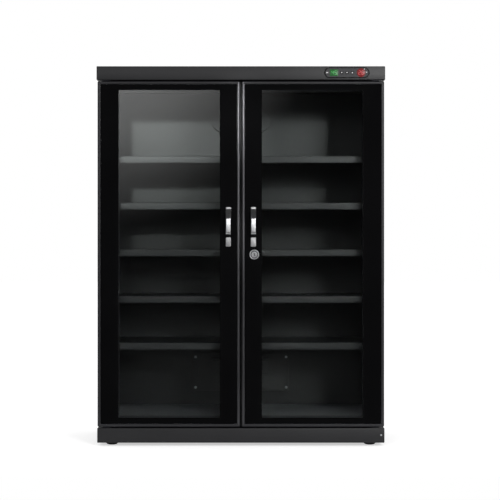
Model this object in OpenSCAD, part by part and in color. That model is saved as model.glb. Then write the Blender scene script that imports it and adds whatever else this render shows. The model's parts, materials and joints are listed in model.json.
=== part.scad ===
// Camera dry cabinet: two glass doors, five shelves, a control panel and a drying unit.
// X is to the right, the doors face -Y and Z is up. The origin is at the middle of the
// whole footprint, on the floor.

/* [Cabinet] */
// Width over the top cover
cabinet_w = 830; // [760:1:950]
// Height of the body between the plinth and the top cover
body_h = 1001.2; // [960:0.1:1200]
// Depth of the body from its front frame to its back
body_depth = 310; // [290:1:400]
// Height of the top cover
cover_h = 39.4; // [36:0.1:60]
// How far the top cover stands proud of the doors
cover_proud = 2; // [0.5:0.5:5]
// Height of the plinth
plinth_h = 42.3; // [34:0.1:80]
// How far the doors stand in from the sides of the top cover
door_inset = 2.5; // [1:0.5:6]
// How far the body walls stand in from the sides of the doors
body_inset = 2.5; // [1:0.5:4]
// How far the plinth stands in from the sides of the top cover
plinth_inset = 1.7; // [0.5:0.1:4]
// Thickness of the sheet steel
sheet_t = 1.2; // [0.8:0.1:1.5]

/* [Front frame and centre post] */
// Width of the frame at the sides and the top of the body front
frame_w = 30; // [28:1:36]
// Height of the frame at the bottom of the body front
frame_bottom = 32; // [30:1:40]
// Depth of the frame's folded edge
frame_d = 20; // [14:1:28]
// Width of the centre post's front plate
post_w = 56; // [53:1:60]
// Width of the box rib behind the centre post's front plate
post_rib_w = 20; // [14:1:22]
// Width of the folded edge at the back of each side panel
rear_fold_w = 14; // [10:1:20]

/* [Doors] */
// Thickness of a door
door_t = 24; // [22:1:30]
// Gap between the doors and the body, which the seals fill
seal_gap = 6; // [4:0.5:8]
// Gap between the two doors
centre_gap = 4.4; // [3:0.1:6]
// Gap above and below the doors
door_gap = 3; // [2.9:0.1:5]
// Width of the door's metal edge seen from the front
trim_w = 9; // [6:0.5:12]
// Width of the door's outer rail behind the glass
rail_w = 24; // [22:1:25]
// Wall of the door's outer rail
rail_wall = 2; // [1.5:0.1:2.5]
// Thickness of the glass
glass_t = 4; // [3:0.5:5]
// How far the glass lies behind the metal edge
glass_sink = 0.6; // [0.2:0.1:1.5]
// Gap round the edge of the glass
glass_clear = 0.5; // [0.2:0.1:1]
// Thickness of the tape between the glass and the inner frame
tape_t = 0.3; // [0.1:0.1:0.6]
// Width of the dark border on the hinge side of the window
border_outer = 61; // [58:1:80]
// Width of the dark border on the lock side of the window
border_inner = 58.3; // [56:0.1:70]
// Height of the dark border above the window
border_top = 25.7; // [25.5:0.1:50]
// Height of the dark border below the window
border_bottom = 27.4; // [26.5:0.1:50]

/* [Seals and hinges] */
// Distance from the door's edge to its seal
seal_inset = 10; // [9:0.5:11]
// Width of the seal's foot
seal_w = 13; // [10:0.5:14]
// Thickness of the seal's foot
seal_foot_t = 2; // [1:0.1:3]
// Distance from the door's edge to the hinge axis
hinge_inset = 8.5; // [8:0.5:10]
// Radius of a hinge pin
pin_r = 3; // [2.5:0.1:3.5]
// Length of a hinge pin inside its bush
pin_len = 12; // [8:1:16]
// Running clearance round a hinge pin
pin_fit = 0.05; // [0.02:0.01:0.1]
// Wall of a hinge bush
bush_wall = 1.8; // [1.2:0.1:2]
// Thickness of a hinge bush's flange
bush_flange_t = 1.2; // [0.6:0.1:1.2]
// How far a hinge bush's flange reaches past the bush
bush_flange_w = 1.6; // [1:0.1:2]
// Thickness of a hinge bracket's plate
bracket_t = 1.5; // [1:0.1:1.6]
// Length of a hinge bracket's plate along the door
bracket_len = 34; // [24:1:60]

/* [Handles] */
// Length of a handle
handle_len = 114.5; // [100:0.5:160]
// Width of a handle's base
handle_w = 15.2; // [12:0.1:18]
// Width of a handle's grip
grip_w = 12.4; // [9:0.1:15]
// How far a handle stands out from the door
handle_out = 24; // [18:1:32]
// Thickness of a handle's base
handle_base_t = 3; // [2.5:0.1:4]
// Thickness of a handle's grip
grip_t = 4.6; // [3:0.1:6]
// Length of the sloping root at the top of a grip
grip_root_len = 33; // [26:1:40]
// Height of a grip's free end above the foot of its base
grip_end_rise = 33.5; // [24:0.5:40]
// Distance from the door's free edge to the middle of its handle
handle_inset = 33.8; // [32:0.1:38]
// Height of a handle's foot above the middle of the doors
handle_lift = 21.1; // [-60:0.1:100]
// Radius of a handle screw
handle_screw_r = 2; // [1.5:0.1:2.5]

/* [Lock] */
// Distance from the right door's free edge to the lock
lock_inset = 36.5; // [36:0.1:40]
// Distance from the foot of the handle down to the lock
lock_drop = 22.5; // [18:0.5:60]
// Radius of the lock's face
lock_face_r = 14.2; // [12:0.1:16]
// Thickness of the lock's face
lock_face_t = 3; // [2:0.1:4]
// Radius of the lock's barrel
barrel_r = 9.4; // [8:0.1:9.5]
// Radius of the lock's plug
plug_r = 6.9; // [5.5:0.1:7]
// Distance across the flats of the lock's nut
nut_flats = 23; // [21:0.5:25]
// Thickness of the lock's nut
lock_nut_t = 3.6; // [2:0.1:3.6]
// Length of the lock's cam from the plug's axis to its tip
cam_len = 26; // [22:1:27]
// Width of the lock's cam
cam_w = 12; // [8:1:14]
// Thickness of the lock's cam
cam_t = 2; // [1.5:0.1:3]
// Gap between the cam and the centre post's front plate
cam_gap = 1; // [0.5:0.1:2]

/* [Shelves] */
// Height of the lowest shelf above the foot of the body
shelf_first = 242.2; // [180:0.1:260]
// Height from one shelf to the next
shelf_pitch = 136; // [100:1:160]
// Height of a shelf's front and rear lips
lip_h = 19.5; // [14:0.5:30]
// Height of a shelf's side edges
shelf_edge_h = 12; // [8:0.5:14]
// Gap between the front frame and the shelves
shelf_front_gap = 4; // [2:1:12]
// Gap between the shelves and the back wall
shelf_back_gap = 6; // [3:1:12]
// Gap between a shelf and the uprights beside it
shelf_side_gap = 1; // [0.5:0.1:3]
// Depth of an upright, out from the wall
upright_d = 10; // [8:1:14]
// Width of an upright
upright_w = 22; // [16:1:30]
// Wall of an upright
upright_wall = 1.5; // [1:0.1:2]
// Distance from a shelf's edge to the middle of the nearer upright
upright_inset = 30; // [20:1:60]
// Number of slots in an upright from one shelf to the next
slots_per_shelf = 4; // [2:1:6]
// Width of a slot
slot_w = 9; // [6:0.5:12]
// Height of a slot
slot_h = 5; // [4:0.5:8]
// Width of a shelf clip
clip_w = 14; // [8:1:18]
// Length of a shelf clip's ledge
clip_ledge = 12; // [8:1:16]
// Height of a shelf clip
clip_h = 18; // [12:1:24]
// Thickness of a shelf clip
clip_t = 2; // [1:0.1:3]

/* [Control panel] */
// Width of the control panel's bezel
panel_w = 129.6; // [120:0.1:150]
// Height of the control panel's bezel
panel_h = 30.5; // [27:0.1:33]
// Distance from the right side of the top cover to the middle of the panel
panel_inset = 110; // [80:0.1:140]
// Height of the panel's middle above the foot of the top cover
panel_rise = 20.6; // [18:0.1:22]
// Thickness of the bezel's face
bezel_t = 1.6; // [1.2:0.1:2.5]
// Wall of the bezel's skirt inside the cover
bezel_wall = 1.5; // [1:0.1:2]
// Depth of the bezel's skirt inside the cover
bezel_d = 9; // [8.5:0.5:14]
// Width of a display
display_w = 24; // [18:0.5:26]
// Height of a display
display_h = 14.5; // [10:0.5:16]
// Distance from the panel's middle to the middle of the green display
display_left = 37; // [34:0.5:39]
// Distance from the panel's middle to the middle of the red display
display_right = 40.6; // [36:0.1:41]
// Radius of a button's cap
button_r = 3.8; // [3:0.1:4.4]
// Distance from one button to the next
button_pitch = 15.2; // [11:0.1:15.5]
// How far a button's cap stands proud of the bezel
button_proud = 0.7; // [0.3:0.1:1.5]
// Running clearance round a button's cap
button_fit = 0.1; // [0.05:0.01:0.2]
// How far a button can be pressed
button_travel = 0.8; // [0.4:0.1:0.9]
// Thickness of the control board
board_t = 1.6; // [1:0.1:2]

/* [Drying unit] */
// Height of the drying unit's middle above the foot of the body
dryer_rise = 131.7; // [125:0.1:160]
// Distance between the drying unit's screws, left to right
dryer_screw_w = 282; // [240:1:320]
// Distance between the drying unit's screws, bottom to top
dryer_screw_h = 95; // [90:1:110]
// Width of the drying unit's plate
dryer_plate_w = 300; // [290:1:340]
// Height of the drying unit's plate
dryer_plate_h = 115; // [108:1:130]
// Width of the drying unit's raised box
dryer_box_w = 176; // [150:1:220]
// Height of the drying unit's raised box
dryer_box_h = 84; // [78:1:88]
// Depth of the drying unit's raised box
dryer_box_d = 42; // [30:1:60]
// Wall of the drying unit's cover
dryer_wall = 2; // [1.5:0.1:3]
// Width of the cold plate
cold_w = 88; // [70:1:120]
// Height of the cold plate
cold_h = 64; // [56:1:70]
// Thickness of the cold plate and of the heat sink's base
plate_t = 4; // [3:0.5:6]
// Length of the cold plate's fins
cold_fin_len = 16; // [10:1:20]
// Side of the square cooling chip
chip_w = 40; // [30:1:50]
// Thickness of the cooling chip
chip_t = 4; // [3.2:0.1:5]
// Width of the heat sink
sink_w = 120; // [100:1:160]
// Height of the heat sink
sink_h = 100; // [80:1:110]
// Length of the heat sink's fins
sink_fin_len = 15; // [10:1:17]
// Thickness of a fin
fin_t = 1.6; // [1:0.1:2]
// Number of fins on the cold plate and on the heat sink
fin_count = 11; // [7:1:13]

/* [Back of the cabinet] */
// How far the bumpers stand out behind the body
rear_out = 30; // [28.5:0.5:50]
// Radius of a bumper
bumper_r = 15; // [10:1:20]
// Width of the rear vent cover
vent_w = 320; // [300:1:400]
// Height of the rear vent cover
vent_h = 160; // [150:1:200]
// Depth of the rear vent cover
vent_d = 27; // [26:0.5:27.5]
// Width of the rear vent cover's flange
vent_flange_w = 12; // [10:1:16]
// Number of slots in a column of the rear vent cover
vent_slot_count = 8; // [4:1:9]
// Width of the mains inlet's recess
inlet_w = 24; // [20:0.5:28]
// Height of the mains inlet's recess
inlet_h = 17.5; // [17:0.5:20]
// Depth of the mains inlet's recess
inlet_d = 15; // [12:0.5:16]
// Wall of the mains inlet
inlet_wall = 1.6; // [1:0.1:2]
// Width of the mains inlet's flange
inlet_flange_w = 3.2; // [2:0.1:5]
// Width of the cable channel
channel_w = 24; // [16:1:40]
// Depth of the cable channel behind the body
channel_d = 8; // [6:0.5:12]
// Radius of the wiring loom
loom_r = 2; // [1.5:0.1:2.5]

/* [Feet] */
// Height of a foot
foot_h = 9.5; // [8:0.5:20]
// Radius of a foot
foot_r = 17; // [14:1:22]
// Distance from the side of the plinth to the middle of a foot
foot_inset = 39.3; // [30:0.1:60]
// Distance from the front or the back of the plinth to the middle of a foot
foot_setback = 42; // [30:1:60]
// Radius of a foot screw
foot_screw_r = 3; // [2:0.1:4]

/* [Sensor] */
// Width of the humidity sensor's housing
sensor_w = 180; // [140:1:220]
// Height of the humidity sensor's housing
sensor_h = 60; // [40:1:80]
// Depth of the humidity sensor's housing
sensor_d = 18; // [12:1:30]
// Distance from the top of the body down to the sensor's middle
sensor_drop = 90.2; // [60:0.1:110]

/* [Hidden] */
$fn = 48;

// Colours of the finishes
black_steel = "#18181b";
grey_steel = "#2c2c30";
black_plastic = "#0c0c0e";
chrome = "#c9ccd1";
steel = "#9a9da3";
rubber_black = "#101010";

// Overrun of every cut past the face that it opens
cut = 1;
// Gap left where faces of two bodies would otherwise touch
touch_gap = 0.3;
// Gap round a screw's shank in its hole
screw_clear = 0.1;

// Half widths of the cabinet's layers
door_outer = cabinet_w / 2 - door_inset;
body_x = door_outer - body_inset;
wall_x = body_x - sheet_t;
plinth_x = cabinet_w / 2 - plinth_inset;

// Depths, from the handles at the front to the bumpers at the back
total_depth = handle_out + door_t + seal_gap + body_depth + rear_out;
y_front = -total_depth / 2;
y_door = y_front + handle_out;
y_door_back = y_door + door_t;
y_body = y_door_back + seal_gap;
y_back = y_body + body_depth;
y_wall_out = y_back - sheet_t;
y_wall_in = y_wall_out - sheet_t;
y_rear = y_back + rear_out;
y_cover = y_door - cover_proud;

// Heights
z_body = foot_h + plinth_h;
z_cover = z_body + body_h;
z_top = z_cover + cover_h;
z_floor = z_body + frame_bottom;
z_door = z_body + door_gap;
door_h = body_h - 2 * door_gap;
door_w = door_outer - centre_gap / 2;

// Places in a door
y_glass = y_door + glass_sink;
y_inner = y_glass + glass_t + tape_t;
pocket_d = y_inner + sheet_t - y_door;
hinge_x = door_outer - hinge_inset;
hinge_y = y_door + door_t / 2;
bush_r = pin_r + pin_fit + bush_wall;
bush_len = pin_len + 2 * bush_flange_t;
handle_x = centre_gap / 2 + handle_inset;
handle_z = z_door + door_h / 2 + handle_lift;
handle_screw_inset = handle_w * 0.9;
screw_head_r = handle_screw_r * 2;
screw_head_t = handle_screw_r * 1.2;
lock_x = centre_gap / 2 + lock_inset;
lock_z = handle_z - lock_drop;
y_cam = y_body + sheet_t + cam_gap;

// Places of the shelves
shelf_half = wall_x - upright_d - shelf_side_gap;
shelf_y0 = y_body + frame_d + shelf_front_gap;
shelf_y1 = y_wall_in - shelf_back_gap;
shelf_count = 5;
slot_pitch = shelf_pitch / slots_per_shelf;
upright_ys = [shelf_y0 + upright_inset, shelf_y1 - upright_inset];
upright_top = z_cover - frame_w;

// Places in the control panel
panel_x = cabinet_w / 2 - panel_inset;
panel_z = z_cover + panel_rise;
skirt_w = panel_w - panel_h / 3;
skirt_h = panel_h * 0.68;
y_board = y_cover + bezel_d;
button_xs = [panel_x - button_pitch, panel_x, panel_x + button_pitch];
button_flange_r = button_r * 1.2;
button_flange_t = bezel_t * 0.6;
switch_h = y_board - y_cover - button_travel - 2 * touch_gap - button_flange_t - bezel_d * 0.2;

// Places in the drying unit and behind the body
dryer_z = z_body + dryer_rise;
y_chip = y_wall_out;
y_sink = y_chip + chip_t;
y_vent = y_wall_out + vent_d;
wick_t = chip_t / 2;
wick_w = chip_w * 0.75;
wick_z = dryer_z - cold_h / 2 - 2 * wick_t;
channel_top = z_cover + cover_h * 0.6;
vent_top = dryer_z + vent_h / 2;
vent_flange_top = vent_top + vent_flange_w;
loom_y = y_back + (channel_d - sheet_t) / 2;
loom_vent_z = dryer_z + (sink_h + vent_h) / 4;
loom_vent_y = y_wall_out + vent_d / 2;
inlet_x = vent_w * 0.375;
inlet_z = dryer_z - vent_h / 3;
inlet_body_w = inlet_w + 2 * inlet_wall;
inlet_body_h = inlet_h + 2 * inlet_wall;
inlet_flange_t = inlet_wall;

// A box from its lowest corner to its highest
module block(low, high) {
    translate(low) cube(high - low);
}

// A plate standing across the depth, drawn in X and Z
module slab(y0, depth) {
    translate([0, y0 + depth, 0]) rotate([90, 0, 0]) linear_extrude(height = depth) children();
}

// A rod along the depth, from y0 backwards
module rod_y(x, y0, z, r, len) {
    translate([x, y0 + len, z]) rotate([90, 0, 0]) cylinder(r = r, h = len);
}

// A rectangle about its middle with round corners
module rounded_rect(w, h, r) {
    square([w - 2 * r, h], center = true);
    square([w, h - 2 * r], center = true);
    for (sx = [-1, 1], sz = [-1, 1])
        translate([sx * (w / 2 - r), sz * (h / 2 - r)]) circle(r = r);
}

// A bar with round ends about its middle
module stadium(w, h) {
    square([w - h, h], center = true);
    for (s = [-1, 1])
        translate([s * (w - h) / 2, 0]) circle(r = h / 2);
}

// What is drawn on the right, again on the left
module both_sides() {
    children();
    mirror([1, 0, 0]) children();
}

// Body of the cabinet

module side_panel() {
    color(black_steel) {
        block([wall_x, y_body, z_body], [body_x, y_back, z_cover]);
        block([body_x - rear_fold_w, y_wall_out, z_body], [body_x, y_back, z_cover]);
    }
}

module back_panel() {
    color(black_steel) difference() {
        block([-wall_x, y_wall_in, z_body], [wall_x, y_wall_out, z_cover]);
        translate([0, 0, dryer_z]) slab(y_wall_in - cut, sheet_t + 2 * cut)
            square(chip_w + 2 * screw_clear, center = true);
        block([-wick_w / 2 - screw_clear, y_wall_in - cut, wick_z - screw_clear],
              [wick_w / 2 + screw_clear, y_wall_out + cut, wick_z + wick_t + screw_clear]);
    }
}

module ceiling_panel() {
    color(black_steel)
        block([-wall_x, y_body + frame_d, z_cover - sheet_t], [wall_x, y_wall_in, z_cover]);
}

// An upturned tray that stands on the plinth
module floor_panel() {
    color(black_steel) difference() {
        block([-wall_x, y_body + frame_d, z_body], [wall_x, y_wall_in, z_floor]);
        block([-wall_x + sheet_t, y_body + frame_d + sheet_t, z_body - cut],
              [wall_x - sheet_t, y_wall_in - sheet_t, z_floor - sheet_t]);
    }
}

module frame_opening(grow) {
    translate([-wall_x + frame_w - grow, z_floor - grow])
        square([2 * (wall_x - frame_w + grow), z_cover - frame_w - z_floor + 2 * grow]);
}

module front_frame() {
    color(black_steel) {
        slab(y_body, sheet_t) difference() {
            translate([-wall_x, z_body]) square([2 * wall_x, z_cover - z_body]);
            frame_opening(0);
        }
        slab(y_body, frame_d) difference() {
            frame_opening(sheet_t);
            frame_opening(0);
        }
        block([-wall_x, y_body, z_cover - sheet_t], [wall_x, y_body + frame_d, z_cover]);
        block([-wall_x, y_body, z_body], [wall_x, y_body + frame_d, z_body + sheet_t]);
    }
}

// A front plate for the seals with a box rib behind it
module centre_post() {
    low = z_floor;
    high = z_cover - frame_w;
    color(grey_steel) {
        block([-post_w / 2, y_body, low], [post_w / 2, y_body + sheet_t, high]);
        difference() {
            block([-post_rib_w / 2, y_body, low], [post_rib_w / 2, y_body + frame_d, high]);
            block([-post_rib_w / 2 + sheet_t, y_body + sheet_t, low - cut],
                  [post_rib_w / 2 - sheet_t, y_body + frame_d - sheet_t, high + cut]);
        }
    }
}

module top_cover() {
    half = cabinet_w / 2;
    lap = rear_fold_w / 2;
    color(black_steel) difference() {
        block([-half, y_cover, z_cover], [half, y_back, z_top]);
        block([-half + sheet_t, y_cover + sheet_t, z_cover + sheet_t],
              [half - sheet_t, y_back - sheet_t, z_top - sheet_t]);
        block([-wall_x + lap, y_body + lap, z_cover - cut],
              [wall_x - lap, y_wall_in - lap, z_cover + sheet_t + cut]);
        translate([panel_x, 0, panel_z]) slab(y_cover - cut, sheet_t + 2 * cut)
            square([skirt_w, skirt_h], center = true);
        rod_y(0, y_back - sheet_t - cut, loom_top_z(), loom_r + screw_clear, sheet_t + 2 * cut);
    }
}

module base_plinth() {
    rim = foot_inset + 2 * foot_r;
    color(black_steel) difference() {
        block([-plinth_x, y_door, foot_h], [plinth_x, y_back, z_body]);
        block([-plinth_x + sheet_t, y_door + sheet_t, foot_h + sheet_t],
              [plinth_x - sheet_t, y_back - sheet_t, z_body - sheet_t]);
        block([-plinth_x + rim, y_door + rim, foot_h - cut],
              [plinth_x - rim, y_back - rim, foot_h + sheet_t + cut]);
        at_feet() translate([0, 0, foot_h - cut])
            cylinder(r = foot_screw_r + screw_clear, h = sheet_t + 2 * cut);
        rod_y(plinth_screw_x(), y_door - cut, plinth_screw_z(), handle_screw_r + screw_clear,
              sheet_t + 2 * cut);
    }
}

function plinth_screw_x() = plinth_x - frame_w / 3;
function plinth_screw_z() = foot_h + plinth_h * 0.53;

module plinth_screw() {
    color(steel) {
        rod_y(plinth_screw_x(), y_door - screw_head_t / 2, plinth_screw_z(),
              screw_head_r * 0.7, screw_head_t / 2);
        rod_y(plinth_screw_x(), y_door - screw_head_t / 4, plinth_screw_z(),
              handle_screw_r, screw_head_t + sheet_t);
    }
}

// Feet

module at_feet() {
    for (sx = [-1, 1], y = [y_door + foot_setback, y_back - foot_setback])
        translate([sx * (plinth_x - foot_inset), y, 0]) children();
}

module rubber_feet() {
    edge = foot_h * 0.35;
    head_room = foot_screw_r * 2 + screw_clear;
    color(rubber_black) at_feet() rotate_extrude() difference() {
        union() {
            square([foot_r - edge, foot_h]);
            translate([0, edge]) square([foot_r, foot_h - edge]);
            translate([foot_r - edge, edge]) circle(r = edge);
        }
        translate([-foot_r, -cut]) square([foot_r + foot_screw_r + screw_clear, foot_h + 2 * cut]);
        translate([0, -cut]) square([head_room, foot_h / 2 + cut]);
    }
}

module foot_screws() {
    color(steel) at_feet() {
        translate([0, 0, foot_h / 4]) cylinder(r = foot_screw_r * 2, h = foot_h / 4);
        translate([0, 0, foot_h / 3]) cylinder(r = foot_screw_r, h = foot_h);
        translate([0, 0, foot_h + sheet_t])
            cylinder(r = foot_screw_r * 1.8, h = foot_screw_r * 0.7, $fn = 6);
    }
}

// Shelves

module shelf_uprights() {
    low = z_floor;
    high = upright_top;
    slot_count = floor((high - low) / slot_pitch) - 1;
    color(black_steel) both_sides() for (y = upright_ys) difference() {
        block([wall_x - upright_d, y - upright_w / 2, low], [wall_x, y + upright_w / 2, high]);
        block([wall_x - upright_d + upright_wall, y - upright_w / 2 + upright_wall, low - cut],
              [wall_x + cut, y + upright_w / 2 - upright_wall, high + cut]);
        for (i = [0 : slot_count])
            translate([wall_x - upright_d - cut, y - slot_w / 2, slot_z(i)])
                cube([upright_wall + 2 * cut, slot_w, slot_h]);
    }
}

// Foot of a slot, counted from the slot behind the lowest shelf's clips
function slot_z(i) =
    clip_top(0) - slot_h + (i - floor((clip_top(0) - slot_h - z_floor) / slot_pitch)) * slot_pitch;

function shelf_top(i) = z_body + shelf_first + i * shelf_pitch;
function clip_top(i) = shelf_top(i) - shelf_edge_h;

module shelf_clips() {
    face = wall_x - upright_d;
    color(steel) both_sides() for (y = upright_ys, i = [0 : shelf_count - 1]) {
        top = clip_top(i);
        block([face - clip_ledge, y - clip_w / 2, top - clip_t], [face, y + clip_w / 2, top]);
        block([face - clip_t, y - clip_w / 2, top - clip_h], [face, y + clip_w / 2, top]);
        block([face - clip_t, y - slot_w / 2 + screw_clear, top - slot_h + screw_clear],
              [face + 2 * upright_wall, y + slot_w / 2 - screw_clear, top - screw_clear]);
    }
}

module shelf(i) {
    z = shelf_top(i);
    color(black_steel) {
        block([-shelf_half, shelf_y0, z - sheet_t], [shelf_half, shelf_y1, z]);
        block([-shelf_half, shelf_y0, z - lip_h], [shelf_half, shelf_y0 + sheet_t, z]);
        block([-shelf_half, shelf_y1 - sheet_t, z - lip_h], [shelf_half, shelf_y1, z]);
        both_sides()
            block([shelf_half - sheet_t, shelf_y0, z - shelf_edge_h], [shelf_half, shelf_y1, z]);
    }
}

// Control panel

module control_bezel() {
    color(black_plastic) difference() {
        union() {
            translate([panel_x, 0, panel_z]) slab(y_cover - bezel_t, bezel_t)
                stadium(panel_w, panel_h);
            translate([panel_x, 0, panel_z]) slab(y_cover, bezel_d) difference() {
                square([skirt_w, skirt_h], center = true);
                square([skirt_w - 2 * bezel_wall, skirt_h - 2 * bezel_wall], center = true);
            }
        }
        at_displays() slab(y_cover - bezel_t - cut, bezel_t + 2 * cut)
            square([display_w, display_h], center = true);
        for (x = button_xs)
            rod_y(x, y_cover - bezel_t - cut, panel_z, button_r + button_fit, bezel_t + 2 * cut);
    }
}

module at_displays() {
    for (x = [panel_x - display_left, panel_x + display_right])
        translate([x, 0, panel_z]) children();
}

module display_lenses() {
    color("#1a2420") at_displays() slab(y_cover - bezel_t, bezel_t)
        square([display_w - screw_clear, display_h - screw_clear], center = true);
}

module display(x, tint) {
    color(tint) translate([x, 0, panel_z])
        slab(y_cover + touch_gap, y_board - y_cover - touch_gap)
            square([display_w - bezel_wall, display_h], center = true);
}

// The board closes the back of the bezel and carries a switch behind each button
module control_board() {
    color("#14402a") {
        translate([panel_x, 0, panel_z]) slab(y_board, board_t)
            square([skirt_w, skirt_h], center = true);
        for (x = button_xs) {
            translate([x, 0, panel_z]) slab(y_board - switch_h, switch_h)
                square(button_r * 1.6, center = true);
        }
    }
}

module button(i) {
    x = button_xs[i];
    stem_y = y_cover + touch_gap + button_flange_t;
    stem_len = y_board - switch_h - button_travel - touch_gap - stem_y;
    color(black_plastic) {
        rod_y(x, y_cover - bezel_t - button_proud, panel_z, button_r,
              bezel_t + button_proud + touch_gap);
        rod_y(x, y_cover + touch_gap, panel_z, button_flange_r, button_flange_t);
        rod_y(x, stem_y, panel_z, button_r * 0.4, stem_len);
    }
}

// Drying unit

module dryer_cover() {
    y_plate = y_wall_in - dryer_wall;
    y_box = y_wall_in - dryer_box_d;
    slit_h = dryer_wall * 1.5;
    color(black_plastic) translate([0, 0, dryer_z]) difference() {
        union() {
            slab(y_plate, dryer_wall)
                rounded_rect(dryer_plate_w, dryer_plate_h, dryer_wall * 3);
            slab(y_box, dryer_box_d) square([dryer_box_w, dryer_box_h], center = true);
        }
        slab(y_box + dryer_wall, dryer_box_d + cut)
            square([dryer_box_w - 2 * dryer_wall, dryer_box_h - 2 * dryer_wall], center = true);
        for (row = [-2 : 2])
            slab(y_box - cut, dryer_wall + 2 * cut) translate([0, row * dryer_box_h / 6])
                square([dryer_box_w * (row == 0 ? 0.94 : 0.8), slit_h], center = true);
        for (sx = [-1, 1], sz = [-1, 1])
            rod_y(sx * dryer_screw_w / 2, y_plate - cut, sz * dryer_screw_h / 2,
                  handle_screw_r + screw_clear, dryer_wall + 2 * cut);
    }
}

module dryer_screws() {
    y_plate = y_wall_in - dryer_wall;
    color(steel) for (sx = [-1, 1], sz = [-1, 1]) {
        x = sx * dryer_screw_w / 2;
        z = dryer_z + sz * dryer_screw_h / 2;
        rod_y(x, y_plate - screw_head_t, z, screw_head_r, screw_head_t);
        rod_y(x, y_plate - screw_head_t / 2, z, handle_screw_r, screw_head_t / 2 + dryer_wall);
    }
}

module fins(width, height, y0, len) {
    for (i = [0 : fin_count - 1])
        translate([(i / (fin_count - 1) - 0.5) * (width - fin_t), 0, 0])
            slab(y0, len) square([fin_t, height], center = true);
}

module cold_plate() {
    color(steel) translate([0, 0, dryer_z]) {
        slab(y_wall_in - plate_t, plate_t) square([cold_w, cold_h], center = true);
        slab(y_wall_in - plate_t, plate_t + sheet_t) square(chip_w, center = true);
        fins(cold_w, cold_h, y_wall_in - plate_t - cold_fin_len, cold_fin_len);
    }
}

module cooling_chip() {
    color("#e6e2d8") translate([0, 0, dryer_z])
        slab(y_chip, chip_t) square(chip_w, center = true);
}

module heat_sink() {
    color(steel) translate([0, 0, dryer_z]) {
        slab(y_sink, plate_t) square([sink_w, sink_h], center = true);
        fins(sink_w, sink_h, y_sink + plate_t, sink_fin_len);
    }
}

// A felt strip from under the cold plate, out through the wall and down behind it
module drain_wick() {
    inside_y = y_wall_in - plate_t;
    outside_y = y_wall_out + wick_t / 4;
    color("#cfcabd") {
        block([-wick_w / 2, inside_y, wick_z], [wick_w / 2, inside_y + wick_t, wick_z + 2 * wick_t]);
        block([-wick_w / 2, inside_y, wick_z],
              [wick_w / 2, outside_y + wick_t, wick_z + wick_t]);
        block([-wick_w / 2, outside_y, wick_z - cold_h / 3],
              [wick_w / 2, outside_y + wick_t, wick_z + wick_t]);
    }
}

module humidity_sensor() {
    louvre_h = sensor_h / 15;
    color(black_plastic) translate([0, 0, z_cover - sensor_drop]) difference() {
        slab(y_wall_in - sensor_d, sensor_d) stadium(sensor_w, sensor_h);
        for (row = [-2 : 2])
            slab(y_wall_in - sensor_d - cut, sensor_d / 4 + cut)
                translate([0, row * sensor_h / 7])
                    square([sensor_w - sensor_h, louvre_h], center = true);
    }
}

// Back of the cabinet

module rear_vent_cover() {
    slot_zs = [for (i = [0 : vent_slot_count - 1]) (i + 1) / (vent_slot_count + 1) - 0.5];
    color(black_steel) difference() {
        translate([0, 0, dryer_z]) difference() {
            union() {
                slab(y_wall_out, vent_d) square([vent_w, vent_h], center = true);
                slab(y_wall_out, sheet_t)
                    square([vent_w + 2 * vent_flange_w, vent_h + 2 * vent_flange_w], center = true);
            }
            slab(y_wall_out - cut, vent_d - sheet_t + cut)
                square([vent_w - 2 * sheet_t, vent_h - 2 * sheet_t], center = true);
            for (sx = [-1, 1], share = slot_zs)
                slab(y_vent - sheet_t - cut, sheet_t + 2 * cut)
                    translate([sx * vent_w / 6, share * vent_h])
                        square([vent_w / 4, vent_h / 30], center = true);
            for (sx = [-1, 1], sz = [-1, 1])
                rod_y(sx * rear_screw_x(), y_wall_out - cut, sz * rear_screw_z(),
                      handle_screw_r + screw_clear, sheet_t + 2 * cut);
        }
        translate([inlet_x, 0, inlet_z]) slab(y_vent - sheet_t - cut, sheet_t + 2 * cut)
            square([inlet_body_w, inlet_body_h], center = true);
        translate([0, loom_y, vent_top - sheet_t - cut])
            cylinder(r = loom_r + screw_clear, h = sheet_t + 2 * cut);
    }
}

function rear_screw_x() = (vent_w + vent_flange_w) / 2;
function rear_screw_z() = vent_h / 2 - 2 * vent_flange_w;

module rear_cover_screws() {
    color(steel) for (sx = [-1, 1], sz = [-1, 1]) {
        rod_y(sx * rear_screw_x(), y_wall_out + sheet_t, dryer_z + sz * rear_screw_z(),
              screw_head_r, screw_head_t);
        rod_y(sx * rear_screw_x(), y_wall_out, dryer_z + sz * rear_screw_z(),
              handle_screw_r, sheet_t + screw_head_t / 2);
    }
}

module power_inlet() {
    color(black_plastic) translate([inlet_x, 0, inlet_z]) difference() {
        union() {
            slab(y_vent - inlet_d - inlet_wall, inlet_d + inlet_wall)
                square([inlet_body_w, inlet_body_h], center = true);
            slab(y_vent, inlet_flange_t)
                rounded_rect(inlet_body_w + 2 * inlet_flange_w, inlet_body_h + 2 * inlet_flange_w,
                             inlet_flange_w);
        }
        slab(y_vent + inlet_flange_t - inlet_d, inlet_d + cut)
            square([inlet_w, inlet_h], center = true);
    }
}

module inlet_pins() {
    blade_w = inlet_w / 12;
    blade_h = inlet_h / 4.4;
    y0 = y_vent + inlet_flange_t - inlet_d;
    color(steel) translate([inlet_x, 0, inlet_z]) {
        for (s = [-1, 1])
            slab(y0, inlet_d * 0.9) translate([s * inlet_w * 0.29, -blade_h * 0.4])
                square([blade_w, blade_h], center = true);
        slab(y0, inlet_d * 0.95) translate([0, blade_h * 0.6])
            square([blade_w, blade_h], center = true);
    }
}

module rear_bumpers() {
    color(rubber_black)
        for (sx = [-1, 1], z = [z_body + body_h * 0.1, z_body + body_h * 0.9])
            rod_y(sx * (wall_x - rear_fold_w - 1.2 * bumper_r), y_wall_out, z, bumper_r,
                  y_rear - y_wall_out);
}

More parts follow.
